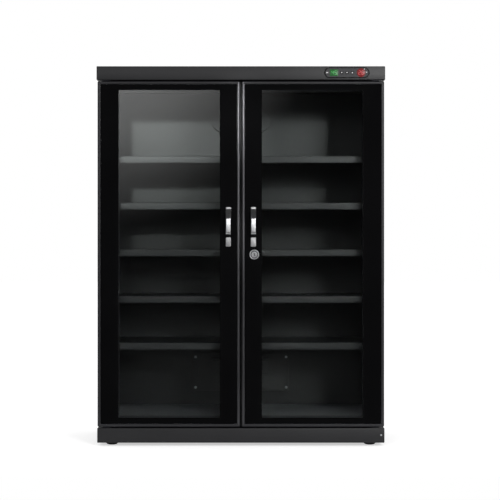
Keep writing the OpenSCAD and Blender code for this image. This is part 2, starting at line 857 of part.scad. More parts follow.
// A channel down the back, from the top cover to the rear vent cover
module cable_channel() {
    half = channel_w / 2;
    color(black_plastic) difference() {
        block([-half, y_wall_out, vent_top], [half, y_back + channel_d, channel_top]);
        block([-half + sheet_t, y_wall_out - cut, vent_top - cut],
              [half - sheet_t, y_back + channel_d - sheet_t, channel_top - sheet_t]);
        block([-half - cut, y_wall_out - cut, z_cover],
              [half + cut, y_back, channel_top + cut]);
        block([-half - cut, y_wall_out - cut, vent_top - cut],
              [half + cut, y_wall_out + sheet_t, vent_flange_top]);
    }
}

function loom_top_z() = z_cover + cover_h * 0.4;

// One straight run of the loom between two points that differ along one axis
module loom_run(a, b) {
    d = b - a;
    turn = d.x != 0 ? [0, 90, 0] : d.y != 0 ? [-90, 0, 0] : [0, 0, 0];
    start = (d.x + d.y + d.z) < 0 ? b : a;
    translate(start) rotate(turn) cylinder(r = loom_r, h = norm(d));
}

module wiring_loom() {
    top = loom_top_z();
    board = [panel_x, y_board + board_t, top];
    route = [
        board,
        [panel_x, shelf_y1, top],
        [0, shelf_y1, top],
        [0, loom_y, top],
        [0, loom_y, loom_vent_z],
        [0, loom_vent_y, loom_vent_z],
        [inlet_x, loom_vent_y, loom_vent_z],
        [inlet_x, loom_vent_y, inlet_z + inlet_body_h / 2]
    ];
    color("#202020") {
        for (i = [0 : len(route) - 2]) loom_run(route[i], route[i + 1]);
        for (i = [1 : len(route) - 2]) translate(route[i]) sphere(r = loom_r);
    }
}

// Hinges: a plate with a pin at the top and the bottom of each door

module hinge_brackets() {
    x1 = hinge_x + bush_r + bush_flange_w / 2;
    y0 = y_door + sheet_t;
    color(steel) both_sides() {
        block([x1 - bracket_len, y0, z_body], [x1, y_body, z_body + bracket_t]);
        translate([hinge_x, hinge_y, z_body]) cylinder(r = pin_r, h = door_gap + pin_len);
        block([x1 - bracket_len, y0, z_cover - bracket_t], [x1, y_body, z_cover]);
        translate([hinge_x, hinge_y, z_cover - door_gap - pin_len])
            cylinder(r = pin_r, h = door_gap + pin_len);
    }
}

// Bore for a hinge bush in the foot or the head of a door
module bush_bores() {
    r = bush_r + screw_clear / 5;
    translate([hinge_x, hinge_y, z_door - cut]) cylinder(r = r, h = bush_len + cut);
    translate([hinge_x, hinge_y, z_door + door_h - bush_len]) cylinder(r = r, h = bush_len + cut);
}

module bush(z, up) {
    translate([hinge_x, hinge_y, z]) mirror([0, 0, up ? 0 : 1]) difference() {
        union() {
            cylinder(r = bush_r, h = bush_len);
            translate([0, 0, -bush_flange_t]) cylinder(r = bush_r + bush_flange_w, h = bush_flange_t);
        }
        translate([0, 0, -bush_flange_t - cut])
            cylinder(r = pin_r + pin_fit, h = bush_flange_t + bush_len - bush_wall + cut);
    }
}

module hinge_bushes() {
    color("#d8d8d4") {
        bush(z_door, true);
        bush(z_door + door_h, false);
    }
}

// Doors, drawn on the right

module door_outline(inset) {
    translate([centre_gap / 2 + inset, z_door + inset])
        square([door_w - 2 * inset, door_h - 2 * inset]);
}

module window_outline(grow) {
    translate([centre_gap / 2 + border_inner - grow, z_door + border_bottom - grow])
        square([door_w - border_inner - border_outer + 2 * grow,
                door_h - border_top - border_bottom + 2 * grow]);
}

// A ring of channel section with solid corners, and a pocket in front for the glass
module door_frame() {
    x0 = centre_gap / 2;
    x1 = door_outer;
    z0 = z_door;
    z1 = z_door + door_h;
    y0 = y_door + pocket_d + rail_wall;
    y1 = y_door_back - rail_wall;
    color(grey_steel) difference() {
        slab(y_door, door_t) door_outline(0);
        slab(y_door - cut, pocket_d + cut) door_outline(trim_w);
        slab(y_door - cut, door_t + 2 * cut) door_outline(rail_w);
        block([x0 + rail_wall, y0, z0 + rail_w], [x0 + rail_w + cut, y1, z1 - rail_w]);
        block([x1 - rail_w - cut, y0, z0 + rail_w], [x1 - rail_wall, y1, z1 - rail_w]);
        block([x0 + rail_w, y0, z0 + rail_wall], [x1 - rail_w, y1, z0 + rail_w + cut]);
        block([x0 + rail_w, y0, z1 - rail_w - cut], [x1 - rail_w, y1, z1 - rail_wall]);
        bush_bores();
    }
}

module handle_screw_rods(r, y0, len) {
    for (z = [handle_z + handle_screw_inset, handle_z + handle_len - handle_screw_inset])
        rod_y(handle_x, y0, z, r, len);
}

module inner_frame(with_lock) {
    color(black_steel) difference() {
        union() {
            slab(y_inner, sheet_t) difference() {
                door_outline(trim_w + glass_clear);
                window_outline(0);
            }
            slab(y_inner, y_door_back - y_inner) difference() {
                window_outline(sheet_t);
                window_outline(0);
            }
            slab(y_door_back - sheet_t, sheet_t) difference() {
                door_outline(rail_w);
                window_outline(0);
            }
        }
        handle_screw_rods(handle_screw_r + screw_clear, y_inner - cut, door_t);
        if (with_lock) rod_y(lock_x, y_inner - cut, lock_z, barrel_r + screw_clear, door_t);
    }
}

module door_glass(with_lock) {
    color("#b8c4c8", 0.35) difference() {
        slab(y_glass, glass_t) door_outline(trim_w + glass_clear);
        handle_screw_rods(handle_screw_r + screw_clear, y_glass - cut, glass_t + 2 * cut);
        if (with_lock)
            rod_y(lock_x, y_glass - cut, lock_z, barrel_r + screw_clear, glass_t + 2 * cut);
    }
}

// A magnetic seal: a wide foot on the door and a narrower bellows towards the body
module door_seal() {
    step = seal_w / 6;
    seal_t = seal_gap - touch_gap;
    color(rubber_black) {
        slab(y_door_back, seal_foot_t) difference() {
            door_outline(seal_inset);
            door_outline(seal_inset + seal_w);
        }
        slab(y_door_back, seal_t) difference() {
            door_outline(seal_inset + step);
            door_outline(seal_inset + seal_w - step);
        }
    }
}

// Side view of the grip: a root that slopes out, a straight bar and a round free end.
// The first number is the distance out from the glass, the second the height.
function grip_points() =
    let (out = handle_out + glass_sink, r = grip_t / 2, root_z = handle_len - grip_root_len,
         under_z = root_z - grip_t, end_z = grip_end_rise + r)
    concat(
        [[handle_base_t / 2, handle_len - grip_t / 4], [handle_base_t, handle_len - grip_t / 4],
         [out, root_z]],
        [for (a = [0 : 20 : 180]) [out - r + r * cos(a), end_z - r * sin(a)]],
        [[out - grip_t, under_z], [handle_base_t, handle_len - grip_root_len / 2],
         [handle_base_t / 2, handle_len - grip_root_len / 2]]
    );

module handle() {
    color(chrome) difference() {
        union() {
            translate([handle_x, 0, handle_z + handle_len / 2])
                slab(y_glass - handle_base_t, handle_base_t)
                    rounded_rect(handle_w, handle_len, handle_w / 5);
            translate([handle_x - grip_w / 2, y_glass, handle_z])
                rotate([90, 0, 90]) linear_extrude(height = grip_w)
                    polygon([for (p = grip_points()) [-p.x, p.y]]);
        }
        handle_screw_rods(handle_screw_r, y_glass - handle_base_t * 0.8, handle_base_t);
    }
}

module handle_screws() {
    color(steel) {
        handle_screw_rods(screw_head_r, y_door_back, screw_head_t);
        handle_screw_rods(handle_screw_r - screw_clear / 5, y_glass - handle_base_t * 0.7,
                          y_door_back - y_glass + handle_base_t * 0.7 + screw_head_t / 2);
    }
}

// Lock in the right door

module lock_barrel() {
    y0 = y_glass - lock_face_t;
    len = y_door_back + lock_nut_t - y_glass;
    color(chrome) difference() {
        union() {
            rod_y(lock_x, y0, lock_z, lock_face_r, lock_face_t);
            rod_y(lock_x, y_glass - lock_face_t / 2, lock_z, barrel_r, len + lock_face_t / 2);
        }
        rod_y(lock_x, y0 - cut, lock_z, plug_r + pin_fit, len + lock_face_t + 2 * cut);
    }
}

module lock_nut() {
    color(steel) difference() {
        rod_y_hex(lock_x, y_door_back, lock_z, nut_flats / 2 / cos(30), lock_nut_t);
        rod_y(lock_x, y_door_back - cut, lock_z, barrel_r + screw_clear / 5, lock_nut_t + 2 * cut);
    }
}

// A six-sided rod along the depth with flats to the left and right
module rod_y_hex(x, y0, z, r, len) {
    translate([x, y0 + len, z]) rotate([90, 30, 0]) cylinder(r = r, h = len, $fn = 6);
}

module lock_plug() {
    y0 = y_glass - lock_face_t * 0.9;
    color(chrome) difference() {
        rod_y(lock_x, y0, lock_z, plug_r, y_cam - y0);
        translate([lock_x, 0, lock_z]) slab(y0 - cut, door_t / 3 + cut)
            square([plug_r / 4, plug_r * 1.2], center = true);
    }
}

module lock_cam() {
    tip_r = cam_w / 2;
    color(steel) slab(y_cam, cam_t) translate([lock_x, lock_z]) {
        circle(r = tip_r);
        translate([-tip_r, -cam_len + tip_r / 2]) square([cam_w, cam_len - tip_r / 2]);
        translate([-tip_r / 2, -cam_len]) square([tip_r, tip_r]);
    }
}

mirror([1, 0, 0]) side_panel();  // left_side_panel
side_panel();  // right_side_panel
back_panel();
ceiling_panel();
floor_panel();
front_frame();
centre_post();
top_cover();
base_plinth();
plinth_screw();
rubber_feet();
foot_screws();
shelf_uprights();
shelf_clips();
shelf(4);  // shelf_1
shelf(3);  // shelf_2
shelf(2);  // shelf_3
shelf(1);  // shelf_4
shelf(0);  // shelf_5
control_bezel();
display_lenses();
display(panel_x - display_left, "#1f6a30");  // humidity_display
display(panel_x + display_right, "#8a1e1e");  // temperature_display
control_board();
button(0);  // button_down
button(1);  // button_set
button(2);  // button_up
dryer_cover();
cold_plate();
cooling_chip();
heat_sink();
drain_wick();
dryer_screws();
humidity_sensor();
rear_vent_cover();
rear_cover_screws();
power_inlet();
inlet_pins();
rear_bumpers();
cable_channel();
wiring_loom();
hinge_brackets();
mirror([1, 0, 0]) door_frame();  // left_door_frame
mirror([1, 0, 0]) inner_frame(false);  // left_inner_frame
mirror([1, 0, 0]) door_glass(false);  // left_glass
mirror([1, 0, 0]) door_seal();  // left_door_seal
mirror([1, 0, 0]) handle();  // left_handle
mirror([1, 0, 0]) handle_screws();  // left_handle_screws
mirror([1, 0, 0]) hinge_bushes();  // left_hinge_bushes
door_frame();  // right_door_frame
inner_frame(true);  // right_inner_frame
door_glass(true);  // right_glass
door_seal();  // right_door_seal
handle();  // right_handle
handle_screws();  // right_handle_screws
hinge_bushes();  // right_hinge_bushes
lock_barrel();
lock_nut();
lock_plug();
lock_cam();
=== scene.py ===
"""Camera dry cabinet: the studio, the finishes and the detailed pieces.

The studio is laid out in metres. The pieces are drawn in millimetres and scaled by MM.
"""
import json
import math

import bmesh
import bpy
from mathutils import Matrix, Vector

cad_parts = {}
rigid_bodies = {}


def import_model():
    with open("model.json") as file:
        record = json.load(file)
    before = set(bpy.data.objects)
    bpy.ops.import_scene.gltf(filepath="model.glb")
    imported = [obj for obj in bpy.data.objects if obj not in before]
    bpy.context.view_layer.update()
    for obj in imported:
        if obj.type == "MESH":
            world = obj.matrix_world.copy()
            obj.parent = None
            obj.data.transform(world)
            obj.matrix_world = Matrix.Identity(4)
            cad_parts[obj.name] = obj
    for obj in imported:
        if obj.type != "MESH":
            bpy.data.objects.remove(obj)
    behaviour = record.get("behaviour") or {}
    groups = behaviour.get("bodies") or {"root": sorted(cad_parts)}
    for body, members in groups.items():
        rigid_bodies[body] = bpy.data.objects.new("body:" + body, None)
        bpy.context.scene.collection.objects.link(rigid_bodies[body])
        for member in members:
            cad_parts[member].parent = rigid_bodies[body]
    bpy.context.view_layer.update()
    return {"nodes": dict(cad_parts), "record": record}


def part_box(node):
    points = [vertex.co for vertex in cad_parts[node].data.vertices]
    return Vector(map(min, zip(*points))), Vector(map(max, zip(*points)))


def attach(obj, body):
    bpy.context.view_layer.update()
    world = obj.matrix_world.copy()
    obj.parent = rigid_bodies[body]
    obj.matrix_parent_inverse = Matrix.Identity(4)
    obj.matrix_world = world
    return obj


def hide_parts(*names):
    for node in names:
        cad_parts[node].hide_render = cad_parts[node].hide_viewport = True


for startup_object in list(bpy.data.objects):
    bpy.data.objects.remove(startup_object)

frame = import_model()
nodes = frame["nodes"]

MM = 0.001
WHITE = (1.0, 1.0, 1.0, 1.0)


# Camera

CAMERA_PLACE = (0.0, -4.167, 0.564)
LENS_MM = 100.0
SENSOR_MM = 36.0
SHIFT_X = 0.0183
FAR_CLIP = 60.0


def make_camera():
    """A level view of the front, from straight ahead."""
    data = bpy.data.cameras.new("camera")
    data.lens = LENS_MM
    data.sensor_width = SENSOR_MM
    data.shift_x = SHIFT_X
    data.clip_end = FAR_CLIP
    camera = bpy.data.objects.new("camera", data)
    camera.location = CAMERA_PLACE
    camera.rotation_euler = (math.radians(90), 0, 0)
    bpy.context.scene.collection.objects.link(camera)
    bpy.context.scene.camera = camera


# Shader parts

def feed(tree, value, socket):
    """Sets a socket to a number, or links an output to it."""
    if isinstance(value, bpy.types.NodeSocket):
        tree.links.new(value, socket)
    else:
        socket.default_value = value


def light_path(tree):
    """Outputs that say which kind of ray asks."""
    return tree.nodes.new("ShaderNodeLightPath").outputs


def calculate(tree, operation, first, second):
    """The result of a sum on two values, each a number or an output."""
    node = tree.nodes.new("ShaderNodeMath")
    node.operation = operation
    feed(tree, first, node.inputs[0])
    feed(tree, second, node.inputs[1])
    return node.outputs[0]


def mix_shaders(tree, factor, first, second):
    """The first shader where the factor is 0 and the second where it is 1."""
    node = tree.nodes.new("ShaderNodeMixShader")
    for value, socket in zip((factor, first, second), node.inputs):
        tree.links.new(value, socket)
    return node.outputs[0]


def spread(tree, value, low, high, start=0.3, end=0.7, smooth=False):
    """Maps the values between start and end to a range from low to high."""
    node = tree.nodes.new("ShaderNodeMapRange")
    if smooth:
        node.interpolation_type = "SMOOTHSTEP"
    node.inputs["From Min"].default_value = start
    node.inputs["From Max"].default_value = end
    node.inputs["To Min"].default_value = low
    node.inputs["To Max"].default_value = high
    tree.links.new(value, node.inputs["Value"])
    return node.outputs["Result"]


def noise(tree, scale, detail, stretch=None):
    """A noise value in the piece's own coordinates."""
    place = tree.nodes.new("ShaderNodeTexCoord").outputs["Object"]
    if stretch:
        mapping = tree.nodes.new("ShaderNodeMapping")
        mapping.inputs["Scale"].default_value = stretch
        tree.links.new(place, mapping.inputs["Vector"])
        place = mapping.outputs["Vector"]
    node = tree.nodes.new("ShaderNodeTexNoise")
    node.inputs["Scale"].default_value = scale
    node.inputs["Detail"].default_value = detail
    tree.links.new(place, node.inputs["Vector"])
    return node.outputs[0]


def tint(tree, value, low, high):
    """Maps a value from 0 to 1 to a mix of two colours."""
    node = tree.nodes.new("ShaderNodeMix")
    node.data_type = "RGBA"
    node.inputs["A"].default_value = (*low, 1)
    node.inputs["B"].default_value = (*high, 1)
    tree.links.new(value, node.inputs["Factor"])
    return node.outputs["Result"]


# World: the light on matt surfaces, and what mirrors show in front, behind and of a softbox

AMBIENT = 0.7
FRONT_GLOSS = 0.008
BACK_GLOSS = 1.0
FRONT_END = 0.0
BACK_START = 0.6
SOFTBOX_WAY = (-0.102, -0.98, 0.168)
SOFTBOX_CORE = 0.03
SOFTBOX_EDGE = 0.16
SOFTBOX_GLOW = 2.0
HALF_BOUNCE = 0.5


def background(tree, strength):
    """White light from all round, whose strength is a number or an output."""
    node = tree.nodes.new("ShaderNodeBackground")
    node.inputs["Color"].default_value = WHITE
    feed(tree, strength, node.inputs["Strength"])
    return node.outputs[0]


def mirrored_strength(tree):
    """The world's strength in mirrors: dim in front but for a softbox, and white behind."""
    way = tree.nodes.new("ShaderNodeTexCoord").outputs["Generated"]
    split = tree.nodes.new("ShaderNodeSeparateXYZ")
    tree.links.new(way, split.inputs[0])
    side = spread(tree, split.outputs["Y"], FRONT_GLOSS, BACK_GLOSS, FRONT_END, BACK_START, smooth=True)
    away = tree.nodes.new("ShaderNodeVectorMath")
    away.operation = "DISTANCE"
    tree.links.new(way, away.inputs[0])
    away.inputs[1].default_value = SOFTBOX_WAY
    softbox = spread(tree, away.outputs["Value"], SOFTBOX_GLOW, 0.0, SOFTBOX_CORE, SOFTBOX_EDGE,
                     smooth=True)
    return calculate(tree, "ADD", side, softbox)


def make_world():
    """White to the camera, and through glass unless a mirror came first; soft light on all else."""
    world = bpy.data.worlds.new("studio")
    bpy.context.scene.world = world
    world.use_nodes = True
    tree = world.node_tree
    tree.nodes.clear()
    path = light_path(tree)
    shiny = calculate(tree, "MAXIMUM", path["Is Glossy Ray"], path["Is Transmission Ray"])
    lit = mix_shaders(tree, shiny, background(tree, AMBIENT), background(tree, mirrored_strength(tree)))
    unmirrored = calculate(tree, "LESS_THAN", path["Glossy Depth"], HALF_BOUNCE)
    through = calculate(tree, "MULTIPLY", unmirrored, path["Is Transmission Ray"])
    seen = calculate(tree, "MAXIMUM", path["Is Camera Ray"], through)
    out = tree.nodes.new("ShaderNodeOutputWorld")
    tree.links.new(mix_shaders(tree, seen, lit, background(tree, 1.0)), out.inputs["Surface"])


# Floor

FLOOR_SIZE = 40.0
FLOOR_FRONT = -0.7
FLOOR_SHADE = 0.8
FLOOR_GLOW = 0.55


def make_floor():
    """A pale matt floor, which glows a little to the camera so that it meets the white behind it."""
    mesh = bpy.data.meshes.new("studio_floor")
    half = FLOOR_SIZE / 2
    corners = [(-half, FLOOR_FRONT, 0), (half, FLOOR_FRONT, 0), (half, half, 0), (-half, half, 0)]
    mesh.from_pydata(corners, [], [(0, 1, 2, 3)])
    floor = bpy.data.objects.new("studio_floor", mesh)
    bpy.context.scene.collection.objects.link(floor)
    mat = bpy.data.materials.new("studio_floor")
    mat.use_nodes = True
    tree = mat.node_tree
    tree.nodes.clear()
    diffuse = tree.nodes.new("ShaderNodeBsdfDiffuse")
    diffuse.inputs["Color"].default_value = (FLOOR_SHADE, FLOOR_SHADE, FLOOR_SHADE, 1)
    path = light_path(tree)
    seen = calculate(tree, "MAXIMUM", path["Is Camera Ray"], path["Is Transmission Ray"])
    glow = tree.nodes.new("ShaderNodeEmission")
    tree.links.new(calculate(tree, "MULTIPLY", seen, FLOOR_GLOW), glow.inputs["Strength"])
    both = tree.nodes.new("ShaderNodeAddShader")
    tree.links.new(diffuse.outputs[0], both.inputs[0])
    tree.links.new(glow.outputs[0], both.inputs[1])
    out = tree.nodes.new("ShaderNodeOutputMaterial")
    tree.links.new(both.outputs[0], out.inputs["Surface"])
    mesh.materials.append(mat)


# Lamps, each with its place, target and watts, and a spot's angle in degrees before the watts

SOFT_TARGET = (0.0, -0.17, 0.62)
SOFT_SIDE = 0.8
SOFT_LAMPS = (("soft_left", (-1.25, -4.1, 1.9), 10.0), ("soft_right", (1.7, -4.1, 1.7), 62.0))
SPOT_R = 0.05
SPOTS = (("strips", (0.0, -4.0, 1.8), (0.0, -0.17, 0.94), 3.4, 190.0),
         ("pulls", (0.0, -4.0, 1.5), (0.0, -0.19, 0.625), 2.8, 45.0))
WINDOW_SPOT_R = 0.12
WINDOW_SPOTS = (("window_left", (-0.5, -4.0, 1.72), (-0.3, 0.1, 0.88), 9.5, 300.0),
                ("window_right", (1.27, -4.0, 1.7), (0.1, 0.1, 0.92), 8.0, 160.0))
INSIDE = ("back_panel", "ceiling_panel", "floor_panel", "left_side_panel", "right_side_panel",
          "shelf_uprights", "shelf_clips", "dryer_cover", "dryer_screws_heads", "humidity_sensor")


def place_lamp(name, data, place, target, watts):
    """A lamp that points from its place at its target."""
    data.energy = watts
    lamp = bpy.data.objects.new(name, data)
    lamp.location = place
    lamp.rotation_euler = (Vector(target) - lamp.location).to_track_quat("-Z", "Y").to_euler()
    bpy.context.scene.collection.objects.link(lamp)
    return lamp


def spot_lamp(name, place, target, angle, watts, radius):
    """A lamp with a cone of light that is soft to its edge."""
    data = bpy.data.lights.new(name, "SPOT")
    data.spot_size = math.radians(angle)
    data.spot_blend = 1.0
    data.shadow_soft_size = radius
    return place_lamp(name, data, place, target, watts)


def make_lights():
    """Soft lamps from both sides, and small ones on the free door edges and the pulls."""
    for name, place, watts in SOFT_LAMPS:
        data = bpy.data.lights.new(name, "AREA")
        data.shape = "SQUARE"
        data.size = SOFT_SIDE
        place_lamp(name, data, place, SOFT_TARGET, watts)
    for name, place, target, angle, watts in SPOTS:
        spot_lamp(name, place, target, angle, watts, SPOT_R)


def light_windows():
    """Two lamps that shine through the windows and light only the inside."""
    lit = bpy.data.collections.new("lit_through_windows")
    for obj in bpy.context.scene.objects:
        if obj.name in INSIDE or obj.name.startswith("bent_shelf"):
            lit.objects.link(obj)
    for name, place, target, angle, watts in WINDOW_SPOTS:
        lamp = spot_lamp(name, place, target, angle, watts, WINDOW_SPOT_R)
        lamp.light_linking.receiver_collection = lit


# Finishes

DRIFT_DETAIL = 4.0
GRAIN_DETAIL = 2.0
BUMP_STRENGTH = 0.5
GLASS_TINT = (0.93, 0.96, 0.95, 1)
GLASS_SHADOW = (0.9, 0.93, 0.92, 1)
GLASS_IOR = 1.5
SMEAR_SCALE = 9.0
SMEAR_DETAIL = 3.0
SMEAR_STRETCH = (1.0, 1.0, 0.35)
SMEAR_START = 0.45
SMEAR_END = 0.75
SMEAR_ROUGH = 0.03


def finish(name, low, high, rough, metallic=0.0, specular=0.5, grain=600.0, depth=0.02,
           blotch=6.0, stretch=None, sheen=0.0, glow=None, glow_strength=0.0):
    """A finish whose colour drifts from low to high, with its own grain, roughness and bump in mm."""
    mat = bpy.data.materials.new(name)
    mat.use_nodes = True
    tree = mat.node_tree
    shader = tree.nodes["Principled BSDF"]
    shader.inputs["Metallic"].default_value = metallic
    shader.inputs["Specular IOR Level"].default_value = specular
    shader.inputs["Sheen Weight"].default_value = sheen
    if glow:
        shader.inputs["Emission Color"].default_value = (*glow, 1)
        shader.inputs["Emission Strength"].default_value = glow_strength
    drift = spread(tree, noise(tree, blotch, DRIFT_DETAIL), 0.0, 1.0)
    tree.links.new(tint(tree, drift, low, high), shader.inputs["Base Color"])
    fine = noise(tree, grain, GRAIN_DETAIL, stretch)
    tree.links.new(spread(tree, fine, *rough), shader.inputs["Roughness"])
    bump = tree.nodes.new("ShaderNodeBump")
    bump.inputs["Strength"].default_value = BUMP_STRENGTH
    bump.inputs["Distance"].default_value = depth * MM
    tree.links.new(fine, bump.inputs["Height"])
    tree.links.new(bump.outputs["Normal"], shader.inputs["Normal"])
    return mat


def glass_finish():
    """Clear glass with faint smears, which lets the lamps' light through."""
    mat = bpy.data.materials.new("clear_glass")
    mat.use_nodes = True
    tree = mat.node_tree
    shader = tree.nodes["Principled BSDF"]
    shader.inputs["Base Color"].default_value = GLASS_TINT
    shader.inputs["Transmission Weight"].default_value = 1.0
    shader.inputs["IOR"].default_value = GLASS_IOR
    smears = spread(tree, noise(tree, SMEAR_SCALE, SMEAR_DETAIL, SMEAR_STRETCH), 0.0, SMEAR_ROUGH,
                    SMEAR_START, SMEAR_END)
    tree.links.new(smears, shader.inputs["Roughness"])
    clear = tree.nodes.new("ShaderNodeBsdfTransparent")
    clear.inputs["Color"].default_value = GLASS_SHADOW
    shown = mix_shaders(tree, light_path(tree)["Is Shadow Ray"], shader.outputs[0], clear.outputs[0])
    tree.links.new(shown, tree.nodes["Material Output"].inputs["Surface"])
    return mat


def make_finishes():
    """The finish of each slot of the record, and the pieces' own ones."""
    return {
        "black_steel": finish("black_powder_coat", (0.010, 0.010, 0.012), (0.014, 0.014, 0.016),
                              (0.39, 0.45), depth=0.008),
        # The inside coat is darker than the outside coat of the same black steel: painted shade inside the
        # cabinet.
        "inner_steel": finish("inner_coat_painted_shade", (0.005, 0.005, 0.006), (0.007, 0.007, 0.008),
                              (0.38, 0.43), specular=0.4, depth=0.006),
        "grey_steel": finish("grey_powder_coat", (0.03, 0.03, 0.034), (0.04, 0.04, 0.044),
                             (0.48, 0.54), depth=0.008),
        # The inside floor is a lighter grey than the other inside steel: painted light where the window
        # lamps' light falls on it.
        "inner_floor": finish("inner_floor_painted_light", (0.06, 0.06, 0.066), (0.09, 0.09, 0.096),
                              (0.5, 0.56), depth=0.006),
        "door_edge": finish("door_edge_paint", (0.011, 0.011, 0.014), (0.015, 0.015, 0.019),
                            (0.42, 0.47), depth=0.004, stretch=(1.0, 1.0, 0.05)),
        # Lighter metal for the free door edges only: painted highlight, added to the lamps' real
        # reflection in it.
        "edge_highlight_metal": finish("free_edge_painted_highlight", (0.09, 0.09, 0.097), (0.12, 0.12, 0.127), (0.33, 0.38),
                             metallic=1.0, depth=0.003, stretch=(1.0, 1.0, 0.02)),
        "dark_zinc": finish("black_zinc_plate", (0.03, 0.03, 0.035), (0.045, 0.045, 0.05), (0.4, 0.5),
                            metallic=1.0, depth=0.004),
        "rim_black": finish("panel_rim_black", (0.002, 0.002, 0.002), (0.004, 0.004, 0.004), (0.4, 0.5),
                            specular=0.1, depth=0.002),
        "glass": glass_finish(),
        "frit": finish("black_glass_print", (0.0022, 0.0022, 0.0025), (0.003, 0.003, 0.0034),
                       (0.6, 0.7), specular=0.02, depth=0.004),
        "chrome": finish("satin_chrome", (0.74, 0.75, 0.77), (0.8, 0.81, 0.83), (0.27, 0.33),
                         metallic=1.0, depth=0.002),
        # The pads: a rougher satin, which is real, and a darker colour than the grip's chrome, which is
        # painted shade.
        "pad_shade_satin": finish("satin_pad_painted_shade", (0.42, 0.42, 0.43), (0.48, 0.48, 0.49), (0.42, 0.48),
                           metallic=1.0, depth=0.004),
        # Darker metal on the lock's sunk dish: painted shade in the recess.
        "dish_shade_metal": finish("lock_dish_painted_shade", (0.14, 0.14, 0.15), (0.18, 0.18, 0.19), (0.3, 0.36),
                           metallic=1.0, depth=0.002),
        "lock_core": finish("lock_core_metal", (0.5, 0.5, 0.52), (0.6, 0.6, 0.62), (0.25, 0.34),
                            metallic=1.0, depth=0.01),
        "zinc_steel": finish("zinc_plate", (0.5, 0.51, 0.53), (0.62, 0.63, 0.66), (0.28, 0.4),
                             metallic=1.0, depth=0.01, blotch=90.0),
        "rubber": finish("black_rubber", (0.010, 0.010, 0.010), (0.018, 0.018, 0.018),
                         (0.62, 0.78), grain=300.0, depth=0.04),
        "gloss_black": finish("gloss_black_plastic", (0.006, 0.006, 0.007), (0.009, 0.009, 0.01),
                              (0.10, 0.14), depth=0.002),
        "black_plastic": finish("matt_black_plastic", (0.010, 0.010, 0.011), (0.015, 0.015, 0.016),
                                (0.45, 0.6), grain=900.0, depth=0.03),
        "display_lens": finish("smoked_lens", (0.01, 0.02, 0.018), (0.012, 0.024, 0.02),
                               (0.05, 0.08), depth=0.001),
        "green_display": finish("green_display_face", (0.02, 0.1, 0.04), (0.02, 0.12, 0.05),
                                (0.3, 0.4)),
        "red_display": finish("red_display_face", (0.12, 0.01, 0.01), (0.14, 0.015, 0.015),
                              (0.3, 0.4)),
        "membrane": finish("panel_membrane", (0.02, 0.02, 0.023), (0.026, 0.026, 0.03), (0.42, 0.5),
                           depth=0.004),
        "green_window": finish("lit_green_window", (0.01, 0.04, 0.012), (0.012, 0.05, 0.015), (0.25, 0.3),
                               specular=0.3, glow=(0.012, 0.09, 0.02), glow_strength=0.8),
        "red_window": finish("lit_red_window", (0.05, 0.008, 0.008), (0.06, 0.01, 0.01), (0.25, 0.3),
                             specular=0.2, glow=(0.16, 0.012, 0.014), glow_strength=0.8),
        "green_digits": finish("lit_green_numerals", (0.05, 0.3, 0.07), (0.06, 0.34, 0.08), (0.3, 0.4),
                               glow=(0.03, 0.25, 0.06), glow_strength=0.8),
        "red_digits": finish("lit_red_numerals", (0.4, 0.04, 0.04), (0.45, 0.05, 0.05), (0.3, 0.4),
                             glow=(0.4, 0.05, 0.05), glow_strength=0.8),
        "pale_print": finish("pale_print", (0.6, 0.6, 0.6), (0.7, 0.7, 0.7), (0.4, 0.5)),
        "circuit_board": finish("solder_mask", (0.015, 0.1, 0.04), (0.02, 0.13, 0.055),
                                (0.3, 0.42)),
        "ceramic": finish("white_ceramic", (0.72, 0.7, 0.64), (0.8, 0.78, 0.72), (0.5, 0.62)),
        "aluminium": finish("mill_aluminium", (0.55, 0.56, 0.58), (0.64, 0.65, 0.67), (0.3, 0.42),
                            metallic=1.0, stretch=(1.0, 1.0, 0.04)),
        "felt": finish("wick_felt", (0.5, 0.48, 0.42), (0.66, 0.63, 0.56), (0.9, 1.0),
                       grain=1800.0, depth=0.3, sheen=0.4),
        "cable_sheath": finish("cable_sheath", (0.016, 0.016, 0.016), (0.024, 0.024, 0.024),
                               (0.4, 0.5)),
        "white_plastic": finish("white_acetal", (0.66, 0.66, 0.63), (0.74, 0.74, 0.7),
                                (0.35, 0.45)),
    }


# Shapes

CORNER_STEPS = 6
SHARP_ANGLE = 35.0


def curve(centre, radius, start, end, steps):
    """Points of an arc, in degrees."""
    turns = [math.radians(start + (end - start) * i / steps) for i in range(steps + 1)]
    return [(centre[0] + radius * math.cos(t), centre[1] + radius * math.sin(t)) for t in turns]


def circle(centre, radius, steps):
    """Points round a circle."""
    return curve(centre, radius, 0, 360, steps)[:-1]


def rounded_loop(low, high, radius, level, axes="xz"):
    """Points round a rectangle with round corners, level along the third axis."""
    corners = ((high[0] - radius, high[1] - radius, 0), (low[0] + radius, high[1] - radius, 90),
               (low[0] + radius, low[1] + radius, 180), (high[0] - radius, low[1] + radius, 270))
    points = []
    for across, up, start in corners:
        points += curve((across, up), radius, start, start + 90, CORNER_STEPS)
    return [(a, level, b) if axes == "xz" else (a, b, level) for a, b in points]


def inset_loop(low, high, inset, radius, level, axes="xz"):
    """A rounded rectangle drawn in from the one between low and high."""
    return rounded_loop((low[0] + inset, low[1] + inset), (high[0] - inset, high[1] - inset),
                        radius, level, axes)


def loft(bm, loops, ring=False):
    """Skins a row of loops with the same number of points; a ring joins the last to the first."""
    rows = [[bm.verts.new(Vector(point) * MM) for point in loop] for loop in loops]
    pairs = list(zip(rows, rows[1:])) + ([(rows[-1], rows[0])] if ring else [])
    for one, two in pairs:
        for i in range(len(one)):
            j = (i + 1) % len(one)
            bm.faces.new((one[i], one[j], two[j], two[i]))
    if not ring:
        bm.faces.new(list(reversed(rows[0])))
        bm.faces.new(rows[-1])


def on_axis(centre, axis, across, up, along):
    """A point in metres at across, up and along an axis through centre."""
    if axis == "y":
        return Vector((centre[0] + across, centre[1] + along, centre[2] + up)) * MM
    return Vector((centre[0] + across, centre[1] + up, centre[2] + along)) * MM


